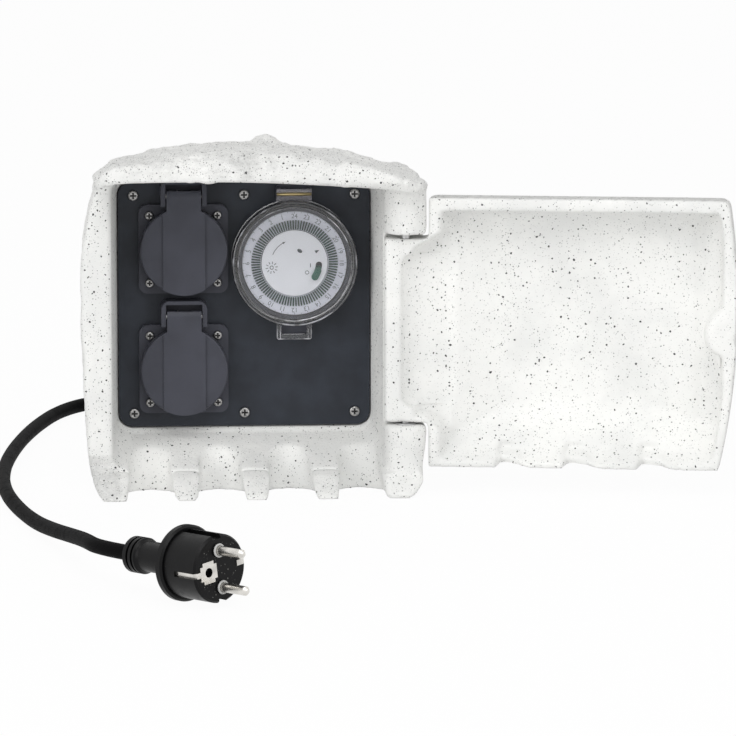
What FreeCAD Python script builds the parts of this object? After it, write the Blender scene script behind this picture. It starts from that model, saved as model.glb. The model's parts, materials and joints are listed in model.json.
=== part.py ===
"""Garden socket box in a cast rock-look shell: two sockets under lids, a timer and a hinged door.
Millimetres. X to the right, Y to the back, Z up. The ground is z = 0 and the panel is centred on x = 0."""

import FreeCAD
import Part

import math
import os

V = FreeCAD.Vector
X, Y, Z = V(1, 0, 0), V(0, 1, 0), V(0, 0, 1)

# Rock shell: outline seen from the front, and its places from front to back
shell_left = 92.0
shell_right = 98.4
shell_foot_left = 80.0
shell_foot_right = 88.0
shell_crown = 193.6
shoulder_height = 168.0
rim_y = -34.0
shell_back = 66.0
roof_lump = (10.0, 10.0, 13.0)
roof_lump_top = 193.2
brow_front = -67.0
brow_underside = 177.0
foot_front = -63.5
foot_height = 12.5

# Recess in the front, which the panel closes
recess_half_width = 75.5
recess_taper = 4.0
recess_corner = 9.0
sill_front = 13.5
sill_back = 28.0
recess_ceiling = 174.0
bay_back = 60.0

# Cable ways between the feet
way_count = 4
way_first = -54.5
way_pitch = 38.9
way_radius = 10.9
way_flare = 3.0
way_end = -25.0

# Door, drawn closed and then turned open about its pins
hinge_x = 87.3
hinge_y = -39.0
knuckle_radius = 12.0
column_radius = 12.0
hinge_gap = 0.6
column_bottom_top = 38.4
column_top_bottom = 145.4
knuckle_bottom = 39.6
knuckle_top = 142.6
notch_reach = 13.5
knee_far = 24.0
knee_depth = 18.0
knee_near = 10.0
knee_middle = 14.6
door_bottom = 15.0
door_top = 165.8
door_left = 95.5
door_gap = 0.4
door_front = -68.0
door_wall = 5.5
door_rim = 7.5
door_lip = 3.0
door_lump = 15.0
throat_margin = 9.0
throat_corner = 5.0
scallop_radius = 6.0
door_open_turn = 171.0
pin_radius = 2.5
pin_length = 24.0
pin_fit = 0.05
pin_seat = 7.0
washer_radius = 6.0
washer_seat = 0.3

# Panel and the box behind it
panel_face = 8.0
panel_thick = 3.0
panel_half_width = 70.6
panel_bottom = 30.8
panel_top = 169.0
ledge_side = 2.8
ledge_bottom = 2.0
ledge_top = 1.6
panel_corner = 7.5
panel_fit = 0.6
gasket_thick = 1.5
box_flange = 2.5
box_wall = 2.0
box_gap = 0.8
box_back = 58.0
boss_radius = 4.0
screw_side = 8.6
screw_inset = 7.4
screw_radius = 1.6
screw_length = 16.0
screw_head = 2.9
screw_head_height = 1.8
screw_dome = 0.9
slot_width = 1.0
slot_depth = 1.3

# Sockets
socket_x = -34.2
socket_heights = (131.7, 63.9)
flange_size = 50.0
flange_corner = 5.0
flange_thick = 4.0
collar_radius = 22.5
collar_height = 6.0
cup_radius = 19.6
cup_depth = 17.5
socket_rear = 40.0
socket_rear_radius = 21.8
panel_hole_gap = 0.3
flange_screw_pitch = 38.0
flange_screw_radius = 1.45
flange_screw_length = 11.0
flange_screw_head = 2.4
contact_pitch = 19.0
contact_hole = 2.6
contact_radius = 3.2
contact_length = 16.0
earth_width = 5.0
earth_thick = 0.8
earth_reach = 2.2

# Socket lids
lid_radius = 24.5
lid_face = -6.4
lid_thick = 2.2
lid_wall = 1.4
lid_band = 23.5
lid_band_raise = 1.2
lid_tab = 0.3
lid_neck = 19.2
lid_skirt_gap = 2.2
lid_axis_up = 30.5
lid_axis_y = -2.0
lid_barrel = 3.4
lid_hood = 5.55
lid_hood_up = 3.4
lid_pin_radius = 1.5
ear_half_width = 12.8
pocket_half_width = 10.2
ear_top = 39.6
ear_bottom = 25.2
ear_front = -5.8
spring_radius = 2.9
spring_length = 7.6
seal_gap = 0.3

# Timer
timer_x = 27.7
timer_z = 124.1
timer_flange_radius = 34.0
timer_flange_thick = 4.0
timer_wall_out = 31.6
timer_wall_in = 29.7
timer_wall_front = -3.6
timer_rear_radius = 28.6
timer_rear_wall = 1.8
timer_back = 38.0
shaft_radius = 2.2
shaft_fit = 0.05
dial_face = -2.0
dial_thick = 3.0
dial_radius = 29.2
dial_well = 18.9
dial_web = 1.0
tappet_count = 96
tappet_in = 19.2
tappet_out = 24.2
tappet_width = 0.75
tappet_height = 1.0
plate_radius = 18.5
plate_thick = 1.4
plate_proud = 0.4
slot_radius = 13.7
slot_half = 1.8
slot_from = 3.0
slot_to = -41.0
switch_width = 3.0
switch_arc = 29.0
switch_place = -26.0
gear_module = 0.5
gear_teeth = 72
pinion_teeth = 12
gear_width = 2.6
pinion_angle = -60.0
gear_play = 0.12
motor_radius = 10.5
motor_offset = 13.5
motor_front = 14.0
motor_length = 17.0
motor_shaft = 1.0
micro_size = (17.0, 8.0, 10.0)
cover_radius = 35.25
cover_face = -7.0
cover_wall = 1.8
cover_skirt_gap = 0.4
cover_axis_up = 38.5
cover_axis_y = 3.0
cover_barrel = 2.4
cover_pin_radius = 1.2
cover_tab = 20.0
cover_ear = 2.6
cover_ear_radius = 3.0
cover_latch = 8.5
cover_latch_rail = 2.9

# Inlet gland and wiring
gland_x = 30.0
gland_z = 47.0
thread_radius = 8.0
gland_flange = 11.0
gland_flange_length = 4.0
gland_cap_radius = 10.4
gland_cap_length = 10.0
gland_nut_radius = 11.0
gland_nut_length = 4.5
wire_radius = 1.2
sleeve_length = 20.0
sleeve_start = 7.4
sleeve_end = 5.2
terminal_size = (34.0, 15.0, 14.0)
terminal_x = -18.0
terminal_z = 100.0

# Cord, its coil behind the box, and the plug in front
cord_radius = 4.0
coil_x = -20.0
coil_y = 216.0
coil_inner = 35.0
coil_pitch = 10.0
coil_floor = 5.0
coil_lift = 8.6
coil_quarters_down = 6
coil_quarters_up = 5
coil_stub = 8.0
tie_width = 12.0
tie_angle = 45.0
tie_thick = 0.8
tie_gap = 0.15
plug_rear = (-70.3, -308.2, 18.8)
plug_heading = (0.65, -0.76, 0.02)
plug_roll = 7.0
plug_tail_length = 28.0
collar_length = 9.0
collar_out = 9.3
neck_out = 7.8
plug_flange_at = 35.0
plug_flange_radius = 19.4
plug_flange_length = 5.0
nose_radius = 17.4
nose_length = 22.5
guide_width = 5.4
guide_depth = 2.6
plug_pin_radius = 2.4
plug_pin_length = 19.0
plug_strip_width = 2.8
plug_strip_length = 15.0
plug_strip_thick = 0.7
earth_plate_half = 5.5
earth_hole_at = 8.0
earth_hole_radius = 2.4


def front(y):
    """Places points (x, z) in the upright plane at this depth."""
    return lambda x, z: V(x, y, z)


def side(x):
    """Places points (y, z) in the upright plane that runs front to back."""
    return lambda y, z: V(x, y, z)


def plan(z):
    """Places points (x, y) in the level plane at this height."""
    return lambda x, y: V(x, y, z)


def trace(place, start, *steps):
    """A wire: a step of one point is a line, and of two points an arc through the first."""
    edges = []
    here = place(*start)
    for step in steps:
        there = place(*step[-1])
        if len(step) == 2:
            edges.append(Part.Arc(here, place(*step[0]), there).toShape())
        else:
            edges.append(Part.LineSegment(here, there).toShape())
        here = there
    return Part.Wire(edges)


def prism(wire, way):
    return Part.Face(wire).extrude(way)


def block(x0, x1, y0, y1, z0, z1):
    return Part.makeBox(x1 - x0, y1 - y0, z1 - z0, V(x0, y0, z0))


def rod(radius, x, z, y0, y1):
    """A round bar from front to back."""
    return Part.makeCylinder(radius, y1 - y0, V(x, y0, z), Y)


def post(radius, x, y, z0, z1):
    return Part.makeCylinder(radius, z1 - z0, V(x, y, z0), Z)


def cross_bar(radius, y, z, x0, x1):
    return Part.makeCylinder(radius, x1 - x0, V(x0, y, z), X)


def rounded(place, u0, u1, v0, v1, r):
    """A rectangle with round corners."""
    k = r * (1 - math.sqrt(0.5))
    return trace(
        place, (u0 + r, v0), ((u1 - r, v0),), ((u1 - k, v0 + k), (u1, v0 + r)), ((u1, v1 - r),),
        ((u1 - k, v1 - k), (u1 - r, v1)), ((u0 + r, v1),), ((u0 + k, v1 - k), (u0, v1 - r)),
        ((u0, v0 + r),), ((u0 + k, v0 + k), (u0 + r, v0)),
    )


def slab(x0, x1, z0, z1, r, y0, y1):
    return prism(rounded(front(y0), x0, x1, z0, z1, r), V(0, y1 - y0, 0))


def fuse(first, *rest):
    return first.fuse(list(rest)).removeSplitter() if rest else first


def cut(first, *rest):
    return first.cut(list(rest))


def save(name, shape):
    shape.exportStep(f"parts/{name}.step")


def screw(x, z, seat, head, radius, length):
    """A pan-head screw from the front: its head stands on the plane y = seat."""
    top = seat - screw_head_height
    pan = rod(head, x, z, top, seat)
    pan = pan.makeFillet(screw_dome, [e for e in pan.Edges if abs(e.BoundBox.YMax - top) < 0.01])
    body = fuse(pan, rod(radius, x, z, seat, seat + length))
    arm = head * 0.62
    half = slot_width / 2
    flat = block(x - arm, x + arm, top - 1, top + slot_depth, z - half, z + half)
    tall = block(x - half, x + half, top - 1, top + slot_depth, z - arm, z + arm)
    return cut(body, flat, tall)


bay_half_width = panel_half_width - ledge_side
bay_bottom = panel_bottom + ledge_bottom
bay_top = panel_top - ledge_top
screw_x = panel_half_width - screw_side
shoulder_y = panel_face + panel_thick + gasket_thick + box_flange
box_half = bay_half_width - box_gap
box_bottom = bay_bottom + box_gap
box_top = bay_top - box_gap
screw_heights = (panel_bottom + screw_inset, panel_top - screw_inset)
screw_places = [(x, z) for z in screw_heights for x in (-screw_x, 0.0, screw_x)]


def shell_outline(y, swell, drop):
    """The rock's outline from the front. The right side stays straight beside the door."""
    left = shell_left * swell
    right = shell_right * swell
    top = shell_crown - drop
    k = (top - shoulder_height) / (shell_crown - shoulder_height)

    def up(z):
        return shoulder_height + (z - shoulder_height) * k if z > shoulder_height else z

    foot_left = shell_foot_left * swell
    foot_right = shell_foot_right * swell
    return trace(
        front(y), (-foot_left + 3.5, -6.0),
        ((-foot_left - 4.2, 4.5), (-left + 4.0, 18.0)), ((-left + 1.2, 55.0), (-left, 110.0)),
        ((-left + 2.0, 142.0), (-left + 8.0, shoulder_height)),
        ((-left + 14.5, up(179.3)), (-left + 30.0, up(186.8))),
        ((5.0, top), (right - 40.0, up(186.8))),
        ((right - 22.0, up(180.4)), (right - 6.0, up(175.0))),
        ((right - 1.6, up(173.0)), (right, shoulder_height)),
        ((right, 60.0),), ((right - 0.8, 28.0), (right - 3.0, 14.0)),
        ((foot_right + 3.8, 4.5), (foot_right - 3.5, -6.0)),
        ((-foot_left + 3.5, -6.0),),
    )


def brow():
    """The overhang above the door: where its front, side and plan outlines meet."""
    top = shell_crown - 1.5
    under = brow_underside
    left = shell_left - 7.5
    right = shell_right - 1.4
    hip = top - 6.5
    eave = under - 2.0
    back = rim_y + 6
    face = trace(
        front(brow_front - 2), (-left, under - 4.0), ((-left + 5.5, top - 10.0), (-left + 24.0, top - 5.0)),
        ((5.0, top), (right - 40.0, hip)), ((right - 22.0, (hip + eave) / 2 + 1.0), (right - 6.0, eave)),
        ((right - 1.2, eave - 2.2), (right, eave - 6.0)), ((right - 23.0, under - 4.8),),
        ((0.0, under + 0.1), (-left + 11.0, under),), ((-left, under - 4.0),),
    )
    flank = trace(
        side(-left - 5), (back, under - 20), ((back, top + 1),), ((brow_front + 20, top + 1),),
        ((brow_front + 6.5, top - 2.0), (brow_front, top - 9.0)), ((brow_front, under + 1.5),),
        ((brow_front + 1.0, under - 1.0), (brow_front + 4.0, under - 3.0)), ((brow_front + 10, under - 20),),
        ((back, under - 20),),
    )
    above = trace(
        plan(under - 20), (-left - 1, back), ((-left, brow_front + 14),),
        ((-left + 3.4, brow_front + 4.5), (-left + 14, brow_front)), ((right - 22, brow_front),),
        ((right - 6.5, brow_front + 4.5), (right - 1, brow_front + 16)), ((right + 1, back),),
        ((-left - 1, back),),
    )
    solid = prism(face, V(0, back - brow_front + 2, 0))
    solid = solid.common(prism(flank, V(left + right + 10, 0, 0)))
    return solid.common(prism(above, V(0, 0, top - under + 30)))


def feet():
    """Five feet with round fronts; the cable ways lie between them."""
    profile = trace(
        side(-shell_left - 5), (rim_y + 8, 0.0), ((foot_front + 4.0, 0.0),),
        ((foot_front, 5.5), (foot_front + 5.5, foot_height - 1.0)),
        ((foot_front + 12.0, foot_height),), ((rim_y + 8, sill_front + 2.5),), ((rim_y + 8, 0.0),),
    )
    ramp = prism(profile, V(shell_left + shell_right + 10, 0, 0))
    inner = [way_first + way_pitch * i for i in range(way_count)]
    edges = [-shell_foot_left - 6.0] + inner + [shell_right - 1.8]
    plans = []
    for i in range(way_count + 1):
        x0 = edges[i] + (0 if i == 0 else way_radius)
        x1 = edges[i + 1] - (0 if i == way_count else way_radius)
        outline = trace(
            plan(-1.0), (x0, rim_y + 8), ((x0, foot_front + 8.0),),
            (((x0 + x1) / 2, foot_front), (x1, foot_front + 8.0)), ((x1, rim_y + 8),), ((x0, rim_y + 8),),
        )
        plans.append(prism(outline, V(0, 0, foot_height + 6)))
    return ramp.common(fuse(*plans))


def cable_way(x):
    """A leaning slot, round at its back end, that widens towards the ground."""
    sections = []
    for z, half, end in (
        (-7.0, way_radius + way_flare * 1.3, way_end - 5.0),
        (sill_front, way_radius, way_end + sill_front * 0.75),
        (sill_back + 14.0, way_radius, way_end + (sill_back + 14.0) * 0.75),
    ):
        middle = end - half
        sections.append(trace(
            plan(z), (x - half, foot_front - 30), ((x - half, middle),), ((x, end), (x + half, middle)),
            ((x + half, foot_front - 30),), ((x - half, foot_front - 30),),
        ))
    return Part.makeLoft(sections, True, True)


def hinge_hole(z0, z1, fit):
    return post(pin_radius + fit, hinge_x, hinge_y, z0, z1)


top_pin_low = knuckle_top - pin_seat
bottom_pin_low = knuckle_bottom + pin_seat - pin_length


# How the shell draws in and its roof falls towards the back: share of its depth, width factor, drop
shell_steps = (
    (0.0, 1.0, 2.0), (0.29, 0.992, 2.5), (0.56, 0.985, 6.0),
    (0.80, 0.965, 10.5), (0.92, 0.94, 15.0), (1.0, 0.90, 22.0),
)


def stone_body():
    depth = shell_back - rim_y
    sections = []
    for share, swell, drop in shell_steps:
        sections.append(shell_outline(rim_y + depth * share, swell, drop))
    rock = Part.makeLoft(sections, True, True)
    lump_x, lump_y, lump_r = roof_lump
    lump = Part.makeSphere(lump_r, V(lump_x, lump_y, roof_lump_top - lump_r))
    columns = []
    for z0, z1 in ((-1.0, column_bottom_top), (column_top_bottom, brow_underside + 1)):
        columns.append(post(column_radius, hinge_x, hinge_y, z0, z1))
        columns.append(block(
            hinge_x - column_radius, hinge_x + column_radius, hinge_y, rim_y + 6, z0, z1,
        ))
    stand = fuse(feet(), *columns)
    stand = stand.common(prism(shell_outline(brow_front - 3, 1.0, 0.0), V(0, 60, 0)))
    rock = rock.fuse([brow(), stand, lump])
    rock = cut(rock, block(-150, 150, brow_front - 40, shell_back + 40, -60, 0))
    half = recess_half_width
    mouth = rounded(front(rim_y), -half, half, sill_front, brow_underside, recess_corner)
    half_back = half - recess_taper
    back = rounded(front(panel_face), -half_back, half_back, sill_back, recess_ceiling, recess_corner)
    lead = rounded(
        front(rim_y - 20), -half - 1, half + 1, sill_front - 7, brow_underside, recess_corner,
    )
    recess = Part.makeLoft([mouth, back], True, True)
    entry = Part.makeLoft([lead, mouth], True, True)
    entry = entry.common(block(
        -half - 2, hinge_x - column_radius, rim_y - 20, rim_y + 1, foot_height, brow_underside,
    ))
    seat = slab(
        -panel_half_width - panel_fit, panel_half_width + panel_fit, panel_bottom - panel_fit,
        panel_top + panel_fit, panel_corner, panel_face - 1, shoulder_y,
    )
    bay = slab(-bay_half_width, bay_half_width, bay_bottom, bay_top, panel_corner, shoulder_y - 1, bay_back)
    ways = [cable_way(way_first + way_pitch * i) for i in range(way_count)]
    groove = post(knuckle_radius + hinge_gap, hinge_x, hinge_y, column_bottom_top, column_top_bottom)
    clear = block(
        hinge_x - knuckle_radius - 3, shell_right + 5, brow_front, hinge_y,
        column_bottom_top, column_top_bottom,
    )
    clear = fuse(clear, hinge_relief())
    gland = rod(thread_radius + 0.3, gland_x, gland_z, bay_back - 1, shell_back + 9)
    spot = rod(gland_flange + 2.0, gland_x, gland_z, shell_back - 1.0, shell_back + 9)
    fixings = [rod(1.6, x, z, bay_back - 1, bay_back + 4.6) for x, z in box_fixings]
    pins = [
        hinge_hole(column_top_bottom - 1, top_pin_low + pin_length, 0),
        hinge_hole(bottom_pin_low, column_bottom_top + 1, 0),
    ]
    return cut(rock, recess, entry, seat, bay, groove, clear, gland, spot, *ways, *fixings, *pins)


def door_back(gap):
    """The door's outer face near its hinge, as arcs in plan; gap stands off it."""
    return (
        (hinge_x - knee_far, hinge_y - knee_depth - gap),
        (hinge_x - knee_near, hinge_y - knee_middle - gap), (hinge_x, hinge_y - knuckle_radius - gap),
    )


def hinge_relief():
    """Room in the shell's right side for the open door's back: its closed face turned half round."""
    far, middle, near = door_back(hinge_gap + 0.2)
    outline = trace(
        plan(column_bottom_top), far, (middle, near), ((hinge_x, hinge_y),), ((far[0], hinge_y),), (far,),
    )
    room = prism(outline, V(0, 0, column_top_bottom - column_bottom_top))
    room.rotate(V(hinge_x, hinge_y, 0), Z, door_open_turn)
    return room


def door_side(y, inset, low, high):
    """The door's outline from the front: its free edge bulges and draws in towards the ground."""
    left = door_left - inset
    right = hinge_x + knuckle_radius
    return trace(
        front(y), (-left + 9.0, low), ((-left + 3.0, low + 32.0), (-left + 0.2, 98.0)),
        ((-left + 0.4, 135.0), (-left + 3.4, high - 6.0)), ((-left + 5.4, high - 1.4), (-left + 10.0, high)),
        ((right, high),), ((right, low),), ((-left + 9.0, low),),
    )


def stone_door():
    """A shallow rock shell with a bowl inside and a round knuckle that turns on the pins."""
    near = rim_y - door_gap
    mid = (near + door_front) / 2
    reach = math.sqrt(knuckle_radius ** 2 - (near - hinge_y) ** 2)
    low, high = door_bottom, door_top
    far, middle, knuckle_front = door_back(0)
    # Level section: a pillow that thins towards the knuckle
    level = trace(
        plan(low), (-door_left, near), ((-door_left, mid + 6.0),),
        ((-door_left + 5.0, mid - 6.5), (-door_left + 17.0, door_front + 6.5)),
        ((-door_left + 48.0, door_front + 1.2), (-6.0, door_front)),
        ((36.0, door_front + 1.8), far),
        (middle, knuckle_front),
        (
            (hinge_x + knuckle_radius * 0.8, hinge_y - knuckle_radius * 0.6),
            (hinge_x + knuckle_radius, hinge_y),
        ),
        ((hinge_x + reach + 0.7, (near + hinge_y) / 2), (hinge_x + reach, near)), ((-door_left, near),),
    )
    upright = trace(
        side(-door_left - 2), (near, low), ((mid - 2.0, low),),
        ((mid - 12.5, low + 5.0), (door_front + 1.2, low + 24.0)),
        ((door_front, low + 70.0), (door_front + 2.5, high - 28.0)),
        ((mid - 10.0, high - 7.0), (mid + 3.0, high)), ((near, high),), ((near, low),),
    )
    width = door_left + hinge_x + knuckle_radius + 4
    solid = prism(level, V(0, 0, high - low)).common(prism(upright, V(width, 0, 0)))
    solid = solid.common(prism(door_side(door_front - 1, 0.0, low, high), V(0, near - door_front + 2, 0)))
    # Bowl: the same forms, one wall or rim further in
    rim = door_rim
    deep = door_front + door_wall
    bowl_level = trace(
        plan(low), (-door_left + 7.0, near + 1), ((-door_left + 8.0, mid + 5.0),),
        ((-door_left + 12.0, mid - 3.5), (-door_left + 24.0, deep + 4.5)),
        ((-door_left + 52.0, deep + 0.6), (-6.0, deep)),
        ((34.0, deep + 1.8), (hinge_x - 27.0, hinge_y - 12.5)),
        ((hinge_x - 24.0, hinge_y - 8.0), (hinge_x - 19.0, near + 1)), ((-door_left + 7.0, near + 1),),
    )
    lip = low + door_lip
    bowl_upright = trace(
        side(-door_left - 2), (near + 1, lip), ((near - 8.0, lip + 5.5), (mid, lip + 14.0)),
        ((mid - 8.0, lip + 24.0), (deep, lip + 39.0)), ((deep - 0.4, low + 76.0), (deep + 1.6, high - 32.0)),
        ((mid - 5.0, high - rim - 7.0), (near - 6.0, high - rim)), ((near + 1, high - rim),),
        ((near + 1, lip),),
    )
    bowl = prism(bowl_level, V(0, 0, high - low)).common(prism(bowl_upright, V(width, 0, 0)))
    bowl = bowl.common(prism(door_side(deep - 1, rim - 1.5, lip - rim, high), V(0, near - deep + 3, 0)))
    lump = Part.makeSphere(door_lump, V(-door_left + 3.0, near - 8.0, (low + high) / 2 + 9.0))
    bowl = cut(bowl, lump)
    # A softer hollow that carries the bowl on into the knuckle
    throat = trace(
        plan(low), (34.0, near + 1), ((34.0, deep + 1.8),), ((hinge_x - 27.0, hinge_y - 12.5),),
        ((hinge_x - 12.3, hinge_y - 8.5), (hinge_x - 4.3, hinge_y - 5.5)),
        ((hinge_x - 0.8, hinge_y - 3.0), (hinge_x + 3.0, near + 1)), ((34.0, near + 1),),
    )
    throat = prism(throat, V(0, 0, high - low)).common(slab(
        20.0, hinge_x + 1.8, knuckle_bottom + throat_margin, knuckle_top - throat_margin, throat_corner,
        door_front, near + 2,
    ))
    # Notches clear the columns above and below the knuckle
    side_out = hinge_x + knuckle_radius + 1
    notches = [
        block(hinge_x - notch_reach, side_out, door_front - 1, near + 1, low - 1, knuckle_bottom),
        block(hinge_x - notch_reach, side_out, door_front - 1, near + 1, knuckle_top, high + 1),
    ]
    sunk = scallop_radius * 0.6
    dips = [
        Part.makeCylinder(scallop_radius, 14.0, V(x, near - 13.0, low - sunk), Y)
        for x in (-60.0, -19.0, 19.5)
    ]
    holes = [
        hinge_hole(top_pin_low - 0.5, knuckle_top + 1, pin_fit),
        hinge_hole(knuckle_bottom - 1, bottom_pin_low + pin_length + 0.5, pin_fit),
    ]
    door = cut(solid, bowl, throat, *notches, *dips, *holes)
    door.rotate(V(hinge_x, hinge_y, 0), Z, door_open_turn)
    return door


box_fixings = [(x, z) for x in (-48.0, 48.0) for z in (72.0, 150.0)]


def front_panel():
    plate = slab(
        -panel_half_width, panel_half_width, panel_bottom, panel_top, panel_corner,
        panel_face, panel_face + panel_thick,
    )
    y0 = panel_face - 1
    y1 = panel_face + panel_thick + 1
    tools = []
    pitch = flange_screw_pitch / 2
    for cz in socket_heights:
        tools.append(rod(socket_rear_radius + panel_hole_gap, socket_x, cz, y0, y1))
        for dx in (-pitch, pitch):
            for dz in (-pitch, pitch):
                tools.append(rod(flange_screw_radius, socket_x + dx, cz + dz, y0, y1))
    tools.append(rod(timer_rear_radius + panel_hole_gap, timer_x, timer_z, y0, y1))
    for x, z in screw_places:
        tools.append(rod(screw_radius + 0.3, x, z, y0, y1))
    return cut(plate, *tools)


def panel_gasket():
    y0 = panel_face + panel_thick
    y1 = y0 + gasket_thick
    ring = slab(-panel_half_width, panel_half_width, panel_bottom, panel_top, panel_corner, y0, y1)
    hole = slab(
        -box_half + box_wall, box_half - box_wall, box_bottom + box_wall, box_top - box_wall,
        panel_corner - box_wall, y0 - 1, y1 + 1,
    )
    bosses = [rod(boss_radius + 0.2, x, z, y0 - 1, y1 + 1) for x, z in screw_places]
    return cut(ring, hole, *bosses)


def inner_box():
    y0 = panel_face + panel_thick + gasket_thick
    flange = slab(-panel_half_width, panel_half_width, panel_bottom, panel_top, panel_corner, y0, shoulder_y)
    outer = slab(-box_half, box_half, box_bottom, box_top, panel_corner - 1, y0, box_back)
    inner = slab(
        -box_half + box_wall, box_half - box_wall, box_bottom + box_wall, box_top - box_wall,
        panel_corner - box_wall, y0 - 1, box_back - box_wall,
    )
    bosses = [rod(boss_radius, x, z, panel_face + panel_thick, box_back - box_wall) for x, z in screw_places]
    holes = [rod(screw_radius, x, z, 0, panel_face + screw_length + 2) for x, z in screw_places]
    fixings = [rod(2.2, x, z, box_back - 10, box_back + 1) for x, z in box_fixings]
    gland = rod(thread_radius + 0.3, gland_x, gland_z, box_back - 5, box_back + 1)
    spacer = cut(
        rod(gland_nut_radius, gland_x, gland_z, box_back, bay_back),
        rod(thread_radius + 0.3, gland_x, gland_z, box_back - 1, bay_back + 1),
    )
    pads = [
        cut(rod(5.0, x, z, box_back, bay_back), rod(2.2, x, z, box_back - 1, bay_back + 1))
        for x, z in box_fixings
    ]
    shell = cut(fuse(flange, outer), inner)
    return cut(fuse(shell, spacer, *bosses, *pads), *holes, *fixings, gland)


def panel_screws():
    return Part.makeCompound([
        screw(x, z, panel_face, screw_head, screw_radius, screw_length) for x, z in screw_places
    ])


def box_screws():
    seat = box_back - box_wall
    return Part.makeCompound([
        screw(x, z, seat, 3.4, 1.6, bay_back + 4.4 - seat) for x, z in box_fixings
    ])


def socket_flange(cz):
    """Square flange, round collar, cup, and the ears that carry the lid."""
    half = flange_size / 2
    front_y = panel_face - flange_thick
    plate = slab(socket_x - half, socket_x + half, cz - half, cz + half, flange_corner, front_y, panel_face)
    collar_y = front_y - collar_height
    collar = rod(collar_radius, socket_x, cz, collar_y, front_y)
    rear = rod(socket_rear_radius, socket_x, cz, panel_face, collar_y + cup_depth + 2.0)
    top = cz + ear_top
    hump = trace(
        front(front_y), (socket_x - ear_half_width, cz + half - 1),
        ((socket_x - ear_half_width, top - 4.5),),
        ((socket_x - ear_half_width + 1.6, top - 1.2), (socket_x - ear_half_width + 6.0, top)),
        ((socket_x + ear_half_width - 6.0, top),),
        ((socket_x + ear_half_width - 1.6, top - 1.2), (socket_x + ear_half_width, top - 4.5)),
        ((socket_x + ear_half_width, cz + half - 1),), ((socket_x - ear_half_width, cz + half - 1),),
    )
    back_plate = prism(hump, V(0, panel_face - front_y, 0))
    ears = prism(hump, V(0, ear_front - front_y, 0))
    ears = cut(ears, block(
        socket_x - pocket_half_width, socket_x + pocket_half_width, ear_front - 1, front_y,
        cz, cz + ear_top - 2.0,
    ))
    ears = ears.common(block(
        socket_x - ear_half_width, socket_x + ear_half_width, ear_front - 1, front_y, cz + ear_bottom, top,
    ))
    cup = rod(cup_radius, socket_x, cz, collar_y - 1, collar_y + cup_depth + 3)
    pitch = flange_screw_pitch / 2
    holes = [
        rod(flange_screw_radius, socket_x + dx, cz + dz, front_y - 1, panel_face + 1)
        for dx in (-pitch, pitch) for dz in (-pitch, pitch)
    ]
    pin = cross_bar(
        lid_pin_radius, lid_axis_y, cz + lid_axis_up,
        socket_x - ear_half_width - 1, socket_x + ear_half_width + 1,
    )
    return cut(fuse(plate, collar, rear, back_plate, ears), cup, pin, *holes)


cup_floor = panel_face - flange_thick - collar_height + cup_depth


def socket_insert(cz):
    """The contact carrier that closes the cup, with flats for the earth strap."""
    low = cup_floor
    body = fuse(
        rod(cup_radius, socket_x, cz, low, low + 2.0),
        rod(socket_rear_radius, socket_x, cz, low + 2.0, socket_rear),
    )
    half = earth_width / 2 + 0.3
    reach = cup_radius - earth_reach - earth_thick - 0.2
    for sign in (-1, 1):
        z0, z1 = sorted((cz + sign * reach, cz + sign * (socket_rear_radius + 1)))
        body = cut(body, block(socket_x - half, socket_x + half, low - 1, socket_rear + 1, z0, z1))
    for dx in (-contact_pitch / 2, contact_pitch / 2):
        body = cut(
            body, rod(contact_hole, socket_x + dx, cz, low - 1, low + 3.0),
            rod(contact_radius, socket_x + dx, cz, low + 2.0, low + 2.0 + contact_length),
        )
    return body


def contact_sleeves(cz):
    """Brass sleeves that grip a plug's pins."""
    sleeves = []
    for dx in (-contact_pitch / 2, contact_pitch / 2):
        y0 = cup_floor + 2.0
        outer = rod(contact_radius, socket_x + dx, cz, y0, y0 + contact_length)
        bore = rod(contact_hole, socket_x + dx, cz, y0 - 1, y0 + contact_length - 1.5)
        split = block(
            socket_x + dx - 0.4, socket_x + dx + 0.4, y0 - 1, y0 + contact_length - 4,
            cz, cz + contact_radius + 1,
        )
        sleeves.append(cut(outer, bore, split))
    return Part.makeCompound(sleeves)


def earth_clip(cz):
    """A strap round the carrier whose two springy ends stand in the cup."""
    r = cup_radius - earth_reach
    t = earth_thick
    y0 = cup_floor - 13.0
    back = socket_rear
    outline = trace(
        side(socket_x - earth_width / 2), (y0, cz + r + 1.2),
        ((cup_floor - 6.5, cz + r - 0.6), (cup_floor, cz + r),),
        ((back + t, cz + r),), ((back + t, cz - r),), ((cup_floor, cz - r),),
        ((cup_floor - 6.5, cz - r + 0.6), (y0, cz - r - 1.2)), ((y0, cz - r - 1.2 + t),),
        ((cup_floor - 6.5, cz - r + 0.6 + t), (cup_floor, cz - r + t)), ((back, cz - r + t),),
        ((back, cz + r - t),), ((cup_floor, cz + r - t),),
        ((cup_floor - 6.5, cz + r - 0.6 - t), (y0, cz + r + 1.2 - t)), ((y0, cz + r + 1.2),),
    )
    return prism(outline, V(earth_width, 0, 0))


def flange_screws(cz):
    pitch = flange_screw_pitch / 2
    seat = panel_face - flange_thick
    return Part.makeCompound([
        screw(socket_x + dx, cz + dz, seat, flange_screw_head, flange_screw_radius, flange_screw_length)
        for dx in (-pitch, pitch) for dz in (-pitch, pitch)
    ])


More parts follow.
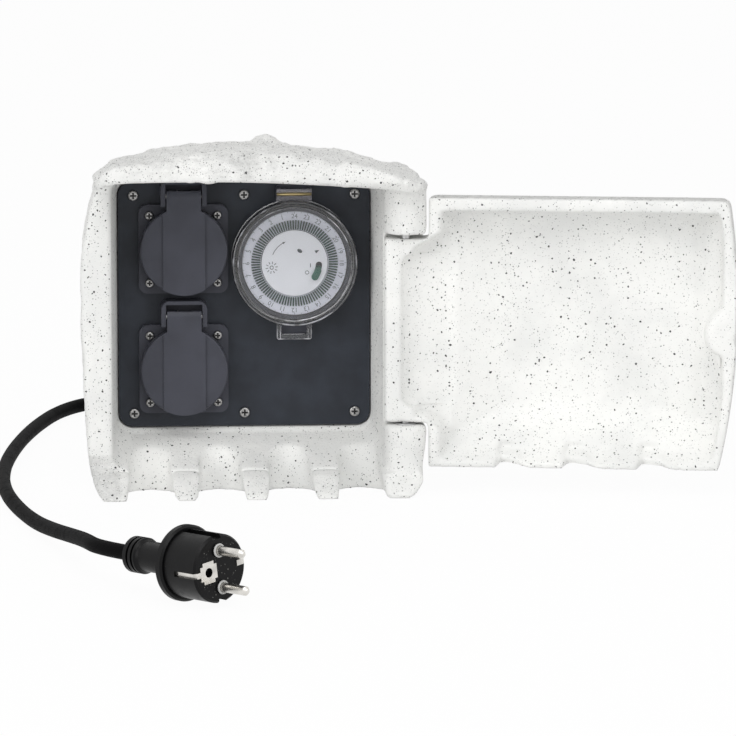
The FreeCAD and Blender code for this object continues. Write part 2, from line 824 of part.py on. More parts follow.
def socket_lid(cz):
    """Round cap with a raised band, a finger tab and a neck that turns on the pin."""
    skirt_end = panel_face - flange_thick - lid_skirt_gap
    inner = lid_radius - lid_wall
    cap = cut(
        rod(lid_radius, socket_x, cz, lid_face, skirt_end),
        rod(inner, socket_x, cz, lid_face + lid_thick, skirt_end + 1),
    )
    edges = [e for e in cap.Edges if abs(e.BoundBox.YMax - lid_face) < 0.01]
    cap = cap.makeFillet(1.2, edges)
    # Room at the back of the skirt, below the hinge, for the collar to pass as the lid swings
    half = lid_band / 2
    cap = cut(cap, block(
        socket_x - half - 2.0, socket_x + half + 2.0, lid_axis_y + 1.4, skirt_end + 1,
        cz + lid_radius * 0.6, cz + lid_radius + 1,
    ))
    reach = math.sqrt(lid_radius ** 2 - half ** 2)
    band_face = lid_face - lid_band_raise
    band = trace(
        front(band_face), (socket_x - half, cz - reach),
        ((socket_x, cz - lid_radius - lid_tab), (socket_x + half, cz - reach)),
        ((socket_x + half, cz + reach),), ((socket_x, cz + lid_radius), (socket_x - half, cz + reach)),
        ((socket_x - half, cz - reach),),
    )
    band = prism(band, V(0, lid_face - band_face + 1.6, 0))
    half_neck = lid_neck / 2
    left, right = socket_x - half_neck, socket_x + half_neck
    axis_z = cz + lid_axis_up
    neck = block(left, right, band_face, lid_axis_y, cz + lid_radius - 2.2, axis_z)
    barrel = cross_bar(lid_barrel, lid_axis_y, axis_z, left, right)
    hood = cross_bar(lid_hood, lid_axis_y, axis_z, left, right).common(
        block(left, right, band_face - 1, lid_axis_y, axis_z, axis_z + lid_hood_up)
    )
    slot = spring_length / 2 + 0.4
    hold = cut(
        fuse(neck, barrel, hood), rod(inner, socket_x, cz, lid_face + lid_thick, 9),
        block(
            socket_x - slot, socket_x + slot, lid_axis_y - spring_radius - 0.4, 9,
            axis_z - lid_barrel - 0.6, axis_z + lid_barrel + 1,
        ),
    )
    hole = cross_bar(lid_pin_radius + pin_fit, lid_axis_y, axis_z, left - 1, right + 1)
    return cut(fuse(cap, band, hold), hole)


def lid_pin(cz):
    z = cz + lid_axis_up
    return cross_bar(lid_pin_radius, lid_axis_y, z, socket_x - ear_half_width, socket_x + ear_half_width)


def lid_spring(cz):
    """Torsion spring wound on the pin, with one leg against the flange."""
    z = cz + lid_axis_up
    half = spring_length / 2
    coil = cut(
        cross_bar(spring_radius, lid_axis_y, z, socket_x - half, socket_x + half),
        cross_bar(lid_pin_radius + 0.25, lid_axis_y, z, socket_x - half - 1, socket_x + half + 1),
    )
    leg = block(
        socket_x - half, socket_x - half + 0.9, lid_axis_y, panel_face - flange_thick, z + 1.9, z + 2.7,
    )
    return fuse(coil, leg)


def lid_seal(cz):
    y0 = lid_face + lid_thick
    y1 = panel_face - flange_thick - collar_height - seal_gap
    return cut(
        rod(collar_radius + 0.3, socket_x, cz, y0, y1), rod(cup_radius + 0.8, socket_x, cz, y0 - 1, y1 + 1),
    )


def turned(profile, x, z):
    """A solid of revolution about a front-to-back axis; the profile's points are (radius, y)."""
    corners = [V(x + r, y, z) for r, y in profile]
    face = Part.Face(Part.makePolygon(corners + corners[:1]))
    return face.revolve(V(x, 0, z), Y, 360)


def timer_housing():
    front_y = panel_face - timer_flange_thick
    ring = turned(
        [
            (timer_wall_in, timer_wall_front), (timer_wall_out, timer_wall_front), (timer_wall_out, front_y),
            (timer_flange_radius, front_y), (timer_flange_radius, panel_face),
            (timer_rear_radius, panel_face),
            (timer_rear_radius, timer_back), (0, timer_back), (0, timer_back - timer_rear_wall),
            (timer_rear_radius - timer_rear_wall, timer_back - timer_rear_wall),
            (timer_rear_radius - timer_rear_wall, panel_face - 1.4), (timer_wall_in, panel_face - 1.4),
        ],
        timer_x, timer_z,
    )
    shaft = rod(shaft_radius, timer_x, timer_z, dial_face - plate_proud + plate_thick, timer_back - 1)
    axis_z = timer_z + cover_axis_up
    half = cover_tab / 2
    foot = slab(
        timer_x - half, timer_x + half, timer_z + timer_flange_radius - 4, axis_z + 4.4, 2.0,
        front_y + 2.0, panel_face,
    )
    ears = []
    for x0 in (timer_x - half, timer_x + half - cover_ear):
        ears.append(cross_bar(cover_ear_radius, cover_axis_y, axis_z, x0, x0 + cover_ear))
        ears.append(block(
            x0, x0 + cover_ear, cover_axis_y, front_y + 2.5,
            axis_z - cover_ear_radius, axis_z + cover_ear_radius,
        ))
    pin = cross_bar(cover_pin_radius, cover_axis_y, axis_z, timer_x - half - 1, timer_x + half + 1)
    post_motor = rod(3.0, motor_x, motor_z, motor_front + motor_length, timer_back - 1)
    x0 = timer_x - micro_size[0] / 2
    micro_shelf = block(
        x0, x0 + micro_size[0], motor_front + micro_size[1], timer_back - 1,
        timer_z + 9.0, timer_z + 9.0 + micro_size[2],
    )
    # A catch under the cover's latch
    latch = slab(
        timer_x - 8.0, timer_x + 8.0,
        timer_z - timer_flange_radius - 7.5, timer_z - timer_flange_radius + 4, 2.0,
        front_y + 0.8, panel_face,
    )
    return cut(fuse(ring, shaft, foot, post_motor, micro_shelf, latch, *ears), pin)


pinion_distance = gear_module * (gear_teeth + pinion_teeth) / 2
pinion_turn = math.radians(pinion_angle)
pinion_x = timer_x + pinion_distance * math.cos(pinion_turn)
pinion_z = timer_z + pinion_distance * math.sin(pinion_turn)
motor_x = timer_x + motor_offset * math.cos(pinion_turn)
motor_z = timer_z + motor_offset * math.sin(pinion_turn)
gear_front = dial_face + dial_thick + dial_web


def gear(x, z, teeth, y0, y1, bore, start):
    """Straight teeth: a flank, a flat tip and a flat root for each tooth."""
    pitch_r = gear_module * teeth / 2
    tip = pitch_r + gear_module - gear_play / 2
    root = pitch_r - 1.25 * gear_module
    step = 2 * math.pi / teeth
    corners = []
    for i in range(teeth):
        a = start + i * step
        for r, part in ((root, -0.36), (tip, -0.13), (tip, 0.13), (root, 0.36)):
            corners.append(V(x + r * math.cos(a + part * step), y0, z + r * math.sin(a + part * step)))
    wheel = Part.Face(Part.makePolygon(corners + corners[:1])).extrude(V(0, y1 - y0, 0))
    return cut(wheel, rod(bore, x, z, y0 - 1, y1 + 1))


def dial_ring():
    """The turning dial: an outer band for the hours and tappets, and a web to its hub."""
    back = dial_face + dial_thick
    return turned(
        [
            (dial_well, dial_face), (dial_radius, dial_face), (dial_radius, back + dial_web),
            (shaft_radius + shaft_fit, back + dial_web), (shaft_radius + shaft_fit, back), (dial_well, back),
        ],
        timer_x, timer_z,
    )


def dial_gear():
    bore = shaft_radius + shaft_fit
    return gear(timer_x, timer_z, gear_teeth, gear_front, gear_front + gear_width, bore, 0.0)


def drive_pinion():
    """Pinion on the motor's shaft. A tooth gap faces the dial gear's nearest tooth."""
    facing = math.pi + pinion_turn
    offset = (pinion_turn / (2 * math.pi / gear_teeth)) % 1.0
    start = facing + (0.5 + offset) * 2 * math.pi / pinion_teeth
    wheel = gear(pinion_x, pinion_z, pinion_teeth, gear_front, gear_front + gear_width, 0.8, start)
    return fuse(wheel, rod(motor_shaft, pinion_x, pinion_z, gear_front, motor_front))


def switching_tappets():
    pieces = []
    half = tappet_width / 2
    for i in range(tappet_count):
        bar = block(
            timer_x + tappet_in, timer_x + tappet_out, dial_face - tappet_height, dial_face,
            timer_z - half, timer_z + half,
        )
        bar.rotate(V(timer_x, 0, timer_z), Y, 360.0 * (i + 0.5) / tappet_count)
        pieces.append(bar)
    return Part.makeCompound(pieces)


def round_slot(radius, half, start, stop, y0, y1):
    """A slot of even width that follows a circle about the timer's centre."""
    def at(r, degrees):
        a = math.radians(degrees)
        return (timer_x + r * math.cos(a), timer_z + r * math.sin(a))

    end = math.degrees(half / radius)
    middle = (start + stop) / 2
    return prism(trace(
        front(y0), at(radius - half, start), (at(radius, start + end), at(radius + half, start)),
        (at(radius + half, middle), at(radius + half, stop)),
        (at(radius, stop - end), at(radius - half, stop)),
        (at(radius - half, middle), at(radius - half, start)),
    ), V(0, y1 - y0, 0))


plate_front = dial_face - plate_proud


def dial_centre_plate():
    disc = rod(plate_radius, timer_x, timer_z, plate_front, plate_front + plate_thick)
    end = math.degrees(slot_half / slot_radius)
    return cut(disc, round_slot(slot_radius, slot_half, slot_from - end, slot_to + end, -9, 9))


def override_switch():
    """A slide with a head above the slot, a waist in it and a foot below it."""
    gap = 0.3
    round_end = math.degrees(switch_width / 2 / slot_radius)
    a = switch_place + switch_arc / 2 - round_end
    b = switch_place - switch_arc / 2 + round_end
    plate_back = plate_front + plate_thick
    web = dial_face + dial_thick
    return fuse(
        round_slot(slot_radius, slot_half + 0.1, a, b, plate_front - gap - 1.3, plate_front - gap),
        round_slot(slot_radius, switch_width / 2, a, b, plate_front - gap - 0.5, plate_back + gap + 0.2),
        round_slot(slot_radius, 2.6, a, b, plate_back + gap, web - gap),
    )


def timer_motor():
    return fuse(
        rod(motor_radius, motor_x, motor_z, motor_front, motor_front + motor_length),
        rod(motor_radius - 1.4, motor_x, motor_z, motor_front - 1.0, motor_front),
    ).cut(rod(motor_shaft + 0.4, pinion_x, pinion_z, motor_front - 2, motor_front))


def microswitch():
    x0 = timer_x - micro_size[0] / 2
    z0 = timer_z + 9.0
    body = block(x0, x0 + micro_size[0], motor_front, motor_front + micro_size[1], z0, z0 + micro_size[2])
    plunger = rod(1.2, timer_x + 4.0, z0 + 5.0, gear_front + gear_width + 0.6, motor_front)
    return fuse(body, plunger)


def timer_cover():
    """Clear cap with a hinge barrel at the top and a latch tab below."""
    skirt_end = panel_face - timer_flange_thick - cover_skirt_gap
    cap = cut(
        rod(cover_radius, timer_x, timer_z, cover_face, skirt_end),
        rod(cover_radius - cover_wall, timer_x, timer_z, cover_face + cover_wall, skirt_end + 1),
    )
    edges = [e for e in cap.Edges if abs(e.BoundBox.YMax - cover_face) < 0.01]
    cap = cap.makeFillet(1.2, edges)
    axis_z = timer_z + cover_axis_up
    half = cover_tab / 2 - cover_ear - 0.3
    arm = block(
        timer_x - half, timer_x + half, cover_axis_y - cover_barrel, cover_axis_y,
        timer_z + cover_radius - 1.4, axis_z,
    )
    barrel = cross_bar(cover_barrel, cover_axis_y, axis_z, timer_x - half, timer_x + half)
    tab_front = panel_face - timer_flange_thick - 2.6
    tab = slab(
        timer_x - 9.9, timer_x + 9.9, timer_z - cover_radius - cover_latch, timer_z - cover_radius + 2.0, 2.0,
        tab_front, tab_front + 2.0,
    )
    hole = cross_bar(cover_pin_radius + pin_fit, cover_axis_y, axis_z, timer_x - 30, timer_x + 30)
    inside = rod(cover_radius - cover_wall, timer_x, timer_z, cover_face + cover_wall, skirt_end + 1)
    rail = 9.9 - cover_latch_rail
    window = slab(
        timer_x - rail, timer_x + rail, timer_z - cover_radius - cover_latch + cover_latch_rail,
        timer_z - cover_radius + 0.6, 1.2, tab_front - 1, tab_front + 3,
    )
    return cut(fuse(cap, arm, barrel, cut(tab, inside, window)), hole)


def cover_pin():
    half = cover_tab / 2
    return cross_bar(cover_pin_radius, cover_axis_y, timer_z + cover_axis_up, timer_x - half, timer_x + half)


def cover_seal():
    """Soft ring that lies on the housing's flange, inside the cover's skirt."""
    y1 = panel_face - timer_flange_thick
    outer = min(timer_flange_radius, cover_radius - cover_wall) - 0.4
    return cut(
        rod(outer, timer_x, timer_z, y1 - 1.2, y1), rod(timer_wall_out, timer_x, timer_z, y1 - 2, y1 + 1),
    )


def gland():
    """Threaded tube with a hexagon, clamped through both back walls."""
    nut_y = box_back - box_wall - gland_nut_length
    tube_front = nut_y - 2.0
    hexagon = Part.makePolygon([
        V(gland_x + gland_flange * math.cos(math.radians(60 * i)), shell_back - 1.0,
          gland_z + gland_flange * math.sin(math.radians(60 * i))) for i in range(7)
    ])
    body = fuse(
        rod(thread_radius, gland_x, gland_z, tube_front, cap_front + gland_cap_length - 3.0),
        Part.Face(hexagon).extrude(V(0, gland_flange_length, 0)),
    )
    bore = rod(cord_radius + 0.8, gland_x, gland_z, tube_front - 1, cap_front + gland_cap_length)
    nut = cut(
        rod(gland_nut_radius, gland_x, gland_z, nut_y, nut_y + gland_nut_length),
        rod(thread_radius, gland_x, gland_z, nut_y - 1, nut_y + gland_nut_length + 1),
    )
    cap_end = cap_front + gland_cap_length
    cap = turned(
        [
            (thread_radius, cap_front), (gland_cap_radius, cap_front), (gland_cap_radius, cap_end - 4.0),
            (gland_cap_radius - 1.4, cap_end - 1.4), (sleeve_start + 0.4, cap_end),
            (cord_radius + 0.8, cap_end),
            (cord_radius + 0.8, cap_end - 3.0), (thread_radius, cap_end - 3.0),
        ],
        gland_x, gland_z,
    )
    return cut(body, bore), nut, cap


cap_front = shell_back - 1.0 + gland_flange_length
sleeve_front = cap_front + gland_cap_length
sleeve_back = sleeve_front + sleeve_length


def cord_sleeve():
    """Soft tapered bend relief with grip rings, full inside where the cord ends."""
    profile = [(0, sleeve_front), (sleeve_start, sleeve_front)]
    rings = 4
    for i in range(1, rings + 1):
        y = sleeve_front + sleeve_length * i / (rings + 1)
        r = sleeve_start + (sleeve_end - sleeve_start) * i / (rings + 1)
        profile += [(r, y - 0.8), (r - 0.7, y - 0.8), (r - 0.7, y + 0.8), (r, y + 0.8)]
    profile += [(sleeve_end, sleeve_back), (0, sleeve_back)]
    return turned(profile, gland_x, gland_z)


def tube(points, radius, label):
    """A round tube on straight runs joined by arcs as large as the runs allow."""
    points = [V(*p) for p in points]
    edges = []
    here = points[0]
    radii = []
    for before, corner, after in zip(points, points[1:], points[2:]):
        to_corner = corner - before
        from_corner = after - corner
        turn = to_corner.getAngle(from_corner)
        arc_r = 0.45 * min(to_corner.Length, from_corner.Length) / math.tan(turn / 2)
        back = arc_r * math.tan(turn / 2)
        start = corner - to_corner * (back / to_corner.Length)
        end = corner + from_corner * (back / from_corner.Length)
        way_in = to_corner * (1 / to_corner.Length)
        way_out = from_corner * (1 / from_corner.Length)
        bisector = way_out - way_in
        bisector = bisector * (1 / bisector.Length)
        middle = corner + bisector * (arc_r / math.cos(turn / 2) - arc_r)
        edges.append(Part.LineSegment(here, start).toShape())
        edges.append(Part.Arc(start, middle, end).toShape())
        here = end
        radii.append(round(arc_r, 1))
    edges.append(Part.LineSegment(here, points[-1]).toShape())
    wire = Part.Wire(edges)
    solid = sweep(wire, points[0], points[1] - points[0], radius)
    share = solid.Volume / (math.pi * radius ** 2 * wire.Length)
    print(label, "length", round(wire.Length, 1), "radii", radii, "volume share", round(share, 4))
    return solid


def sweep(wire, start, heading, radius):
    ring = Part.Wire(Part.makeCircle(radius, start, heading))
    return wire.makePipeShell([ring], True, False)


def two_arcs(p0, t0, p1, t1):
    """Two tangent arcs from p0 to p1 that leave and arrive along t0 and t1."""
    v = p1 - p0
    t = t0 + t1
    k = 2 * (1 - t0.dot(t1))
    d = (-v.dot(t) + math.sqrt(v.dot(t) ** 2 + k * v.dot(v))) / k
    q0 = p0 + t0 * d
    q1 = p1 - t1 * d
    joint = (q0 + q1) * 0.5
    arcs = []
    for a, q, b in ((p0, q0, joint), (joint, q1, p1)):
        chord = (a + b) * 0.5
        half = (b - a).Length / 2
        rise = (q - chord).Length
        bulge = half * (math.sqrt(half ** 2 + rise ** 2) - half) / rise
        arcs.append(Part.Arc(a, chord + (q - chord) * (bulge / rise), b).toShape())
    return arcs


def coil_marks():
    """Quarter by quarter: in on the upper layer, down in half a turn, out on the lower layer."""
    step = coil_pitch / 4
    high = coil_floor + coil_lift
    marks = []
    for i in range(coil_quarters_down + 1):
        way = 0 if i == coil_quarters_down else -1
        marks.append((coil_inner + step * (coil_quarters_down - i), high, way))
    marks.append((coil_inner, (high + coil_floor) / 2, 0))
    for i in range(coil_quarters_up + 1):
        marks.append((coil_inner + step * i, coil_floor, 0 if i == 0 else 1))
    return marks


def cord_coil():
    """One unbroken tube with its loops, wound round and held by the tie."""
    marks = coil_marks()
    nodes = []
    for i, (r, z, way) in enumerate(marks):
        a = math.radians(90 * i)
        out = V(math.cos(a), math.sin(a), 0)
        along = V(-math.sin(a), math.cos(a), 0)
        slope = 0 if i in (0, len(marks) - 1) else way * coil_pitch / (2 * math.pi) / r
        heading = along + out * slope
        nodes.append((V(coil_x, coil_y, z) + out * r, heading * (1 / heading.Length)))
    drop = nodes[coil_quarters_down + 2][0] - nodes[coil_quarters_down][0]
    middle = drop * (1 / drop.Length)
    nodes[coil_quarters_down + 1] = (nodes[coil_quarters_down + 1][0], middle)
    start, heading = nodes[0]
    edges = [Part.LineSegment(start - heading * coil_stub, start).toShape()]
    for (p0, t0), (p1, t1) in zip(nodes, nodes[1:]):
        edges += two_arcs(p0, t0, p1, t1)
    end, away = nodes[-1]
    edges.append(Part.LineSegment(end, end + away * coil_stub).toShape())
    wire = Part.Wire(edges)
    points = wire.discretize(Number=900)
    spacing = wire.Length / 899
    skip = int(5 * cord_radius / spacing)
    least = min(
        (points[i] - points[j]).Length for i in range(0, 900, 3) for j in range(i + skip, 900, 2)
    )
    print("cord_coil length", round(wire.Length, 1), "least gap to itself", round(least - 2 * cord_radius, 2))
    solid = sweep(wire, start - heading * coil_stub, heading, cord_radius)
    share = solid.Volume / (math.pi * cord_radius ** 2 * wire.Length)
    print("cord_coil volume share", round(share, 4))
    return solid, start - heading * coil_stub, end + away * coil_stub


def coil_tie():
    """A flat strap round the turns, on the side away from the climb."""
    a = math.radians(tie_angle)
    out = V(math.cos(a), math.sin(a), 0)
    along = V(-math.sin(a), math.cos(a), 0)
    gap = tie_gap
    low = coil_floor - cord_radius - gap
    high = coil_floor + coil_lift + cord_radius + gap
    near = coil_inner + coil_pitch * tie_angle / 360 - cord_radius - 1.4
    far = coil_inner + coil_pitch * (coil_quarters_down / 4 - tie_angle / 360) + cord_radius + 0.4

    def place(r, z):
        return V(coil_x, coil_y, z) + out * r - along * (tie_width / 2)

    t = tie_thick
    outer = prism(rounded(place, near - t, far + t, low - t, high + t, 4.0), along * tie_width)
    inner = prism(rounded(place, near, far, low, high, 3.2), along * tie_width)
    return cut(outer, inner)


def cord_route_start(coil_start):
    """From the sleeve down to the top of the coil."""
    x, y0, z0 = gland_x, sleeve_back, gland_z
    return [
        (x, y0, z0), (x, y0 + 16.5, z0), (x, y0 + 32.5, z0 - 6.2),
        (x, coil_start.y - 32.5, coil_start.z + 6.2), (x, coil_start.y - 16.5, coil_start.z),
        (coil_start.x, coil_start.y, coil_start.z),
    ]


def cord_route_end(coil_end):
    """From the coil round the left of the box and along the ground to the plug."""
    return [
        (coil_end.x, coil_end.y, coil_end.z), (-55.0, coil_end.y, coil_end.z), (-84.5, 252.5, 4.0),
        (-102.2, 222.0, 4.0), (-115.2, 174.0, 4.0), (-124.8, 124.0, 4.0), (-131.6, 74.0, 4.0),
        (-135.6, 27.0, 4.0), (-136.4, -19.0, 4.0), (-133.2, -63.0, 4.0), (-126.8, -105.0, 4.0),
        (-118.6, -146.0, 5.0), (-110.0, -185.0, 8.4), (-101.8, -221.0, 12.4), (-94.6, -255.0, 16.2),
        plug_tail, plug_rear,
    ]


plug_way = V(*plug_heading) * (1 / V(*plug_heading).Length)
plug_tail = tuple(V(*plug_rear) - plug_way * plug_tail_length)


def place_plug(shape):
    """Turns a piece drawn along X, with its pins one above the other, to where the plug lies."""
    level = Z.cross(plug_way)
    level = level * (1 / level.Length)
    upright = plug_way.cross(level)
    roll = math.radians(plug_roll)
    across = level * math.cos(roll) + upright * math.sin(roll)
    above = upright * math.cos(roll) - level * math.sin(roll)
    x, y, z = plug_rear
    shape = shape.copy()
    shape.Placement = FreeCAD.Placement(FreeCAD.Matrix(
        plug_way.x, across.x, above.x, x, plug_way.y, across.y, above.y, y, plug_way.z, across.z, above.z, z,
        0, 0, 0, 1,
    ))
    return shape


def turned_x(profile):
    """A solid of revolution about X; the profile's points are (x, radius)."""
    corners = [V(x, r, 0) for x, r in profile]
    face = Part.Face(Part.makePolygon(corners + corners[:1]))
    return face.revolve(V(0, 0, 0), X, 360)


nose_start = plug_flange_at + plug_flange_length
nose_end = nose_start + nose_length


def plug_strip(sign):
    """Channel of one earth strip on the side of the nose."""
    half = plug_strip_width / 2
    low, high = sorted((sign * (nose_radius - 2.2), sign * (nose_radius + 0.2)))
    return block(nose_end - plug_strip_length, nose_end + 1, low, high, -half, half)


def plug_body():
    """Moulded rubber body: ringed collar, slender neck, round flange and nose with guide grooves."""
    profile = [(0, 0), (0, collar_out)]
    for x in (collar_length * 0.36, collar_length * 0.72):
        profile += [
            (x - 0.7, collar_out), (x - 0.7, collar_out - 1.5),
            (x + 0.7, collar_out - 1.5), (x + 0.7, collar_out),
        ]
    profile += [
        (collar_length - 0.8, collar_out), (collar_length, collar_out - 0.8), (collar_length + 1.2, neck_out),
        (plug_flange_at - 5.0, neck_out), (plug_flange_at - 1.8, neck_out + 1.6),
        (plug_flange_at, neck_out + 5.0),
        (plug_flange_at, plug_flange_radius - 1.0), (plug_flange_at + 1.0, plug_flange_radius),
        (nose_start - 1.0, plug_flange_radius), (nose_start, plug_flange_radius - 1.0),
        (nose_start, nose_radius), (nose_end - 1.0, nose_radius), (nose_end, nose_radius - 1.0),
        (nose_end, 0),
    ]
    body = turned_x(profile)
    pocket = Part.makeCylinder(nose_radius - 2.4, 2.0, V(nose_end - 2.0, 0, 0), X)
    half = guide_width / 2
    guides = []
    for sign in (-1, 1):
        low, high = sorted((sign * (nose_radius - guide_depth + 0.4), sign * (nose_radius + 1)))
        guides.append(block(nose_start, nose_end + 1, -half, half, low, high))
    strips = [plug_strip(sign) for sign in (-1, 1)]
    return place_plug(cut(body, pocket, *guides, *strips))


def plug_face():
    """The hard disc that carries the pins, with the hole for an earth pin."""
    disc = Part.makeCylinder(nose_radius - 2.4, 2.0, V(nose_end - 2.0, 0, 0), X)
    bases = [
        Part.makeCylinder(3.4, 3.0, V(nose_end - 2.0, 0, sign * contact_pitch / 2), X) for sign in (-1, 1)
    ]
    tools = [
        Part.makeCylinder(plug_pin_radius + 0.02, 9.0, V(nose_end - 4.0, 0, sign * contact_pitch / 2), X)
        for sign in (-1, 1)
    ]
    tools.append(Part.makeCylinder(earth_hole_radius, 9.0, V(nose_end - 4.0, -earth_hole_at, 0), X))
    return place_plug(cut(fuse(disc, *bases), *tools))


def plug_pins():
    pins = []
    tip = 1.6
    for sign in (-1, 1):
        z = sign * contact_pitch / 2
        start = nose_end - 2.0
        shank = Part.makeCylinder(plug_pin_radius, plug_pin_length + 2.0 - tip, V(start, 0, z), X)
        tip_start = V(nose_end + plug_pin_length - tip, 0, z)
        end = Part.makeCone(plug_pin_radius, plug_pin_radius - 1.4, tip, tip_start, X)
        pins.append(place_plug(fuse(shank, end)))
    return Part.makeCompound(pins)


def plug_earth_clips():
    """Bright strips along both sides of the nose; one ends in a plate round the earth hole."""
    half = plug_strip_width / 2
    inner = nose_radius - 2.2
    clips = []
    for sign in (-1, 1):
        y0, y1 = sorted((sign * inner, sign * (inner + plug_strip_thick)))
        strip = block(nose_end - plug_strip_length, nose_end + 0.6, y0, y1, -half, half)
        y0, y1 = sorted((sign * (inner - 4.0), sign * (inner + plug_strip_thick)))
        strip = fuse(strip, block(nose_end, nose_end + 0.6, y0, y1, -half, half))
        if sign < 0:
            wide = earth_plate_half
            low = -earth_hole_at - wide
            plate = block(nose_end, nose_end + 0.6, low, low + 2 * wide, -wide, wide)
            corners = [
                block(nose_end - 1, nose_end + 1, y - 1.8, y + 1.8, z - 1.8, z + 1.8)
                for y in (low, low + 2 * wide) for z in (-wide, wide)
            ]
            hole = Part.makeCylinder(earth_hole_radius, 4.0, V(nose_end - 2.0, -earth_hole_at, 0), X)
            strip = cut(fuse(strip, plate), hole, *corners)
        clips.append(place_plug(strip))
    return Part.makeCompound(clips)


def terminal_block():
    """Clamp block on the box's back wall, with a screw well over each pole."""
    w, h, d = terminal_size
    back = box_back - box_wall
    body = block(
        terminal_x - w / 2, terminal_x + w / 2, back - d, back, terminal_z - h / 2, terminal_z + h / 2,
    )
    tools = []
    for i in range(3):
        x = terminal_x + (i - 1) * w / 3
        tools.append(rod(2.6, x, terminal_z, back - d - 1, back - d + 4))
        tools.append(Part.makeCylinder(wire_radius + 0.4, 6.0, V(x, back - d / 2, terminal_z - h / 2 - 1), Z))
        if i:
            x_rib = x - w / 6
            tools.append(block(
                x_rib - 0.5, x_rib + 0.5, back - d - 1, back - d + 5, terminal_z - h, terminal_z + h,
            ))
    return cut(body, *tools)


def inner_wire(i, label):
    """One core from the gland up to its pole on the terminal block."""
    w, h, d = terminal_size
    back = box_back - box_wall
    x_end = terminal_x + (i - 1) * w / 3
    angle = math.radians(180 - 90 * i)
    x0 = gland_x + 2.4 * math.cos(angle)
    z0 = gland_z + 2.4 * math.sin(angle)
    y0 = back - gland_nut_length - 1.0
    y1 = back - d / 2
    lane = 4.0 * i
    low = terminal_z - h / 2
    return tube(
        [
            (x0, y0, z0), (x0, y0 - 9.0 - lane, z0), (x_end + 8.0, y1 - 2.0 - lane, low - 24.5),
            (x_end, y1, low - 11.0), (x_end, y1, low + 3.0),
        ],
        wire_radius, label,
    )


def build():
    os.makedirs("parts", exist_ok=True)
    save("stone_body", stone_body())
    save("stone_door", stone_door())
    save("hinge_pin_top", hinge_hole(top_pin_low, top_pin_low + pin_length, 0))
    save("hinge_pin_bottom", hinge_hole(bottom_pin_low, bottom_pin_low + pin_length, 0))
    washer = post(washer_radius, hinge_x, hinge_y, column_bottom_top, knuckle_bottom - washer_seat)
    save("hinge_washer", cut(washer, hinge_hole(column_bottom_top - 1, knuckle_bottom, 0)))
    save("front_panel", front_panel())
    save("panel_gasket", panel_gasket())
    save("inner_box", inner_box())
    save("panel_screws", panel_screws())
    save("box_screws", box_screws())
    for name, cz in zip(("upper", "lower"), socket_heights):
        save(f"socket_flange_{name}", socket_flange(cz))
        save(f"socket_insert_{name}", socket_insert(cz))
        save(f"contact_sleeves_{name}", contact_sleeves(cz))
        save(f"earth_clip_{name}", earth_clip(cz))
        save(f"flange_screws_{name}", flange_screws(cz))
        save(f"socket_lid_{name}", socket_lid(cz))
        save(f"lid_pin_{name}", lid_pin(cz))
        save(f"lid_spring_{name}", lid_spring(cz))
        save(f"lid_seal_{name}", lid_seal(cz))
    save("timer_housing", timer_housing())
    save("dial_ring", dial_ring())
    save("dial_gear", dial_gear())
    save("drive_pinion", drive_pinion())
    save("switching_tappets", switching_tappets())
    save("dial_centre_plate", dial_centre_plate())
    save("override_switch", override_switch())
    save("timer_motor", timer_motor())
    save("microswitch", microswitch())
    save("timer_cover", timer_cover())
    save("cover_pin", cover_pin())
    save("cover_seal", cover_seal())
    save("terminal_block", terminal_block())
    for i, name in enumerate(("wire_live", "wire_earth", "wire_neutral")):
        save(name, inner_wire(i, name))
    body, nut, cap = gland()
    save("gland_body", body)
    save("gland_nut", nut)
    save("gland_cap", cap)
    save("cord_sleeve", cord_sleeve())
    coil, coil_start, coil_end = cord_coil()
    save("cord_coil", coil)
    save("coil_tie", coil_tie())
    save("cord_from_gland", tube(cord_route_start(coil_start), cord_radius, "cord_from_gland"))
    save("cord_to_plug", tube(cord_route_end(coil_end), cord_radius, "cord_to_plug"))
    save("plug_body", plug_body())
    save("plug_face", plug_face())
    save("plug_pins", plug_pins())
    save("plug_earth_clips", plug_earth_clips())


build()
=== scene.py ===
import json
import math

import bmesh
import bpy
import numpy as np
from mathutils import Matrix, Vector


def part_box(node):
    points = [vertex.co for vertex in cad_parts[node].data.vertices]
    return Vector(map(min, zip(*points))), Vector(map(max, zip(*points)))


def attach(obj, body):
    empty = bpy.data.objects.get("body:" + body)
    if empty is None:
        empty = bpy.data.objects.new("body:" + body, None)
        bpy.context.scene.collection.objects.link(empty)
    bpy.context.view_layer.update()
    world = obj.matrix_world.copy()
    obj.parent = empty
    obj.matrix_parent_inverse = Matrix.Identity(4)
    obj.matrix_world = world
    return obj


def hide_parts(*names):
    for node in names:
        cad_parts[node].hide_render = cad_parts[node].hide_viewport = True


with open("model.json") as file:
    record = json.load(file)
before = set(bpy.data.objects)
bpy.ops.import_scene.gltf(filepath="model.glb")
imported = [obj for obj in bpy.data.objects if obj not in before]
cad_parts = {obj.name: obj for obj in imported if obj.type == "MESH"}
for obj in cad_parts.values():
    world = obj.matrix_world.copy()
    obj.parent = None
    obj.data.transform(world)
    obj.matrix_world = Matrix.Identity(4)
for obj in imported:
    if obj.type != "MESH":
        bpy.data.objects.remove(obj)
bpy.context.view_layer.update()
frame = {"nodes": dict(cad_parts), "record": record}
nodes = frame["nodes"]


# Camera: aimed a little down and from the left, as far away as a catalogue photographer stands
view = {"lens": 266.8, "distance": 3.0, "aim": (0.0646, -0.064, 0.074), "down": 9.0, "fromLeft": 4.0}


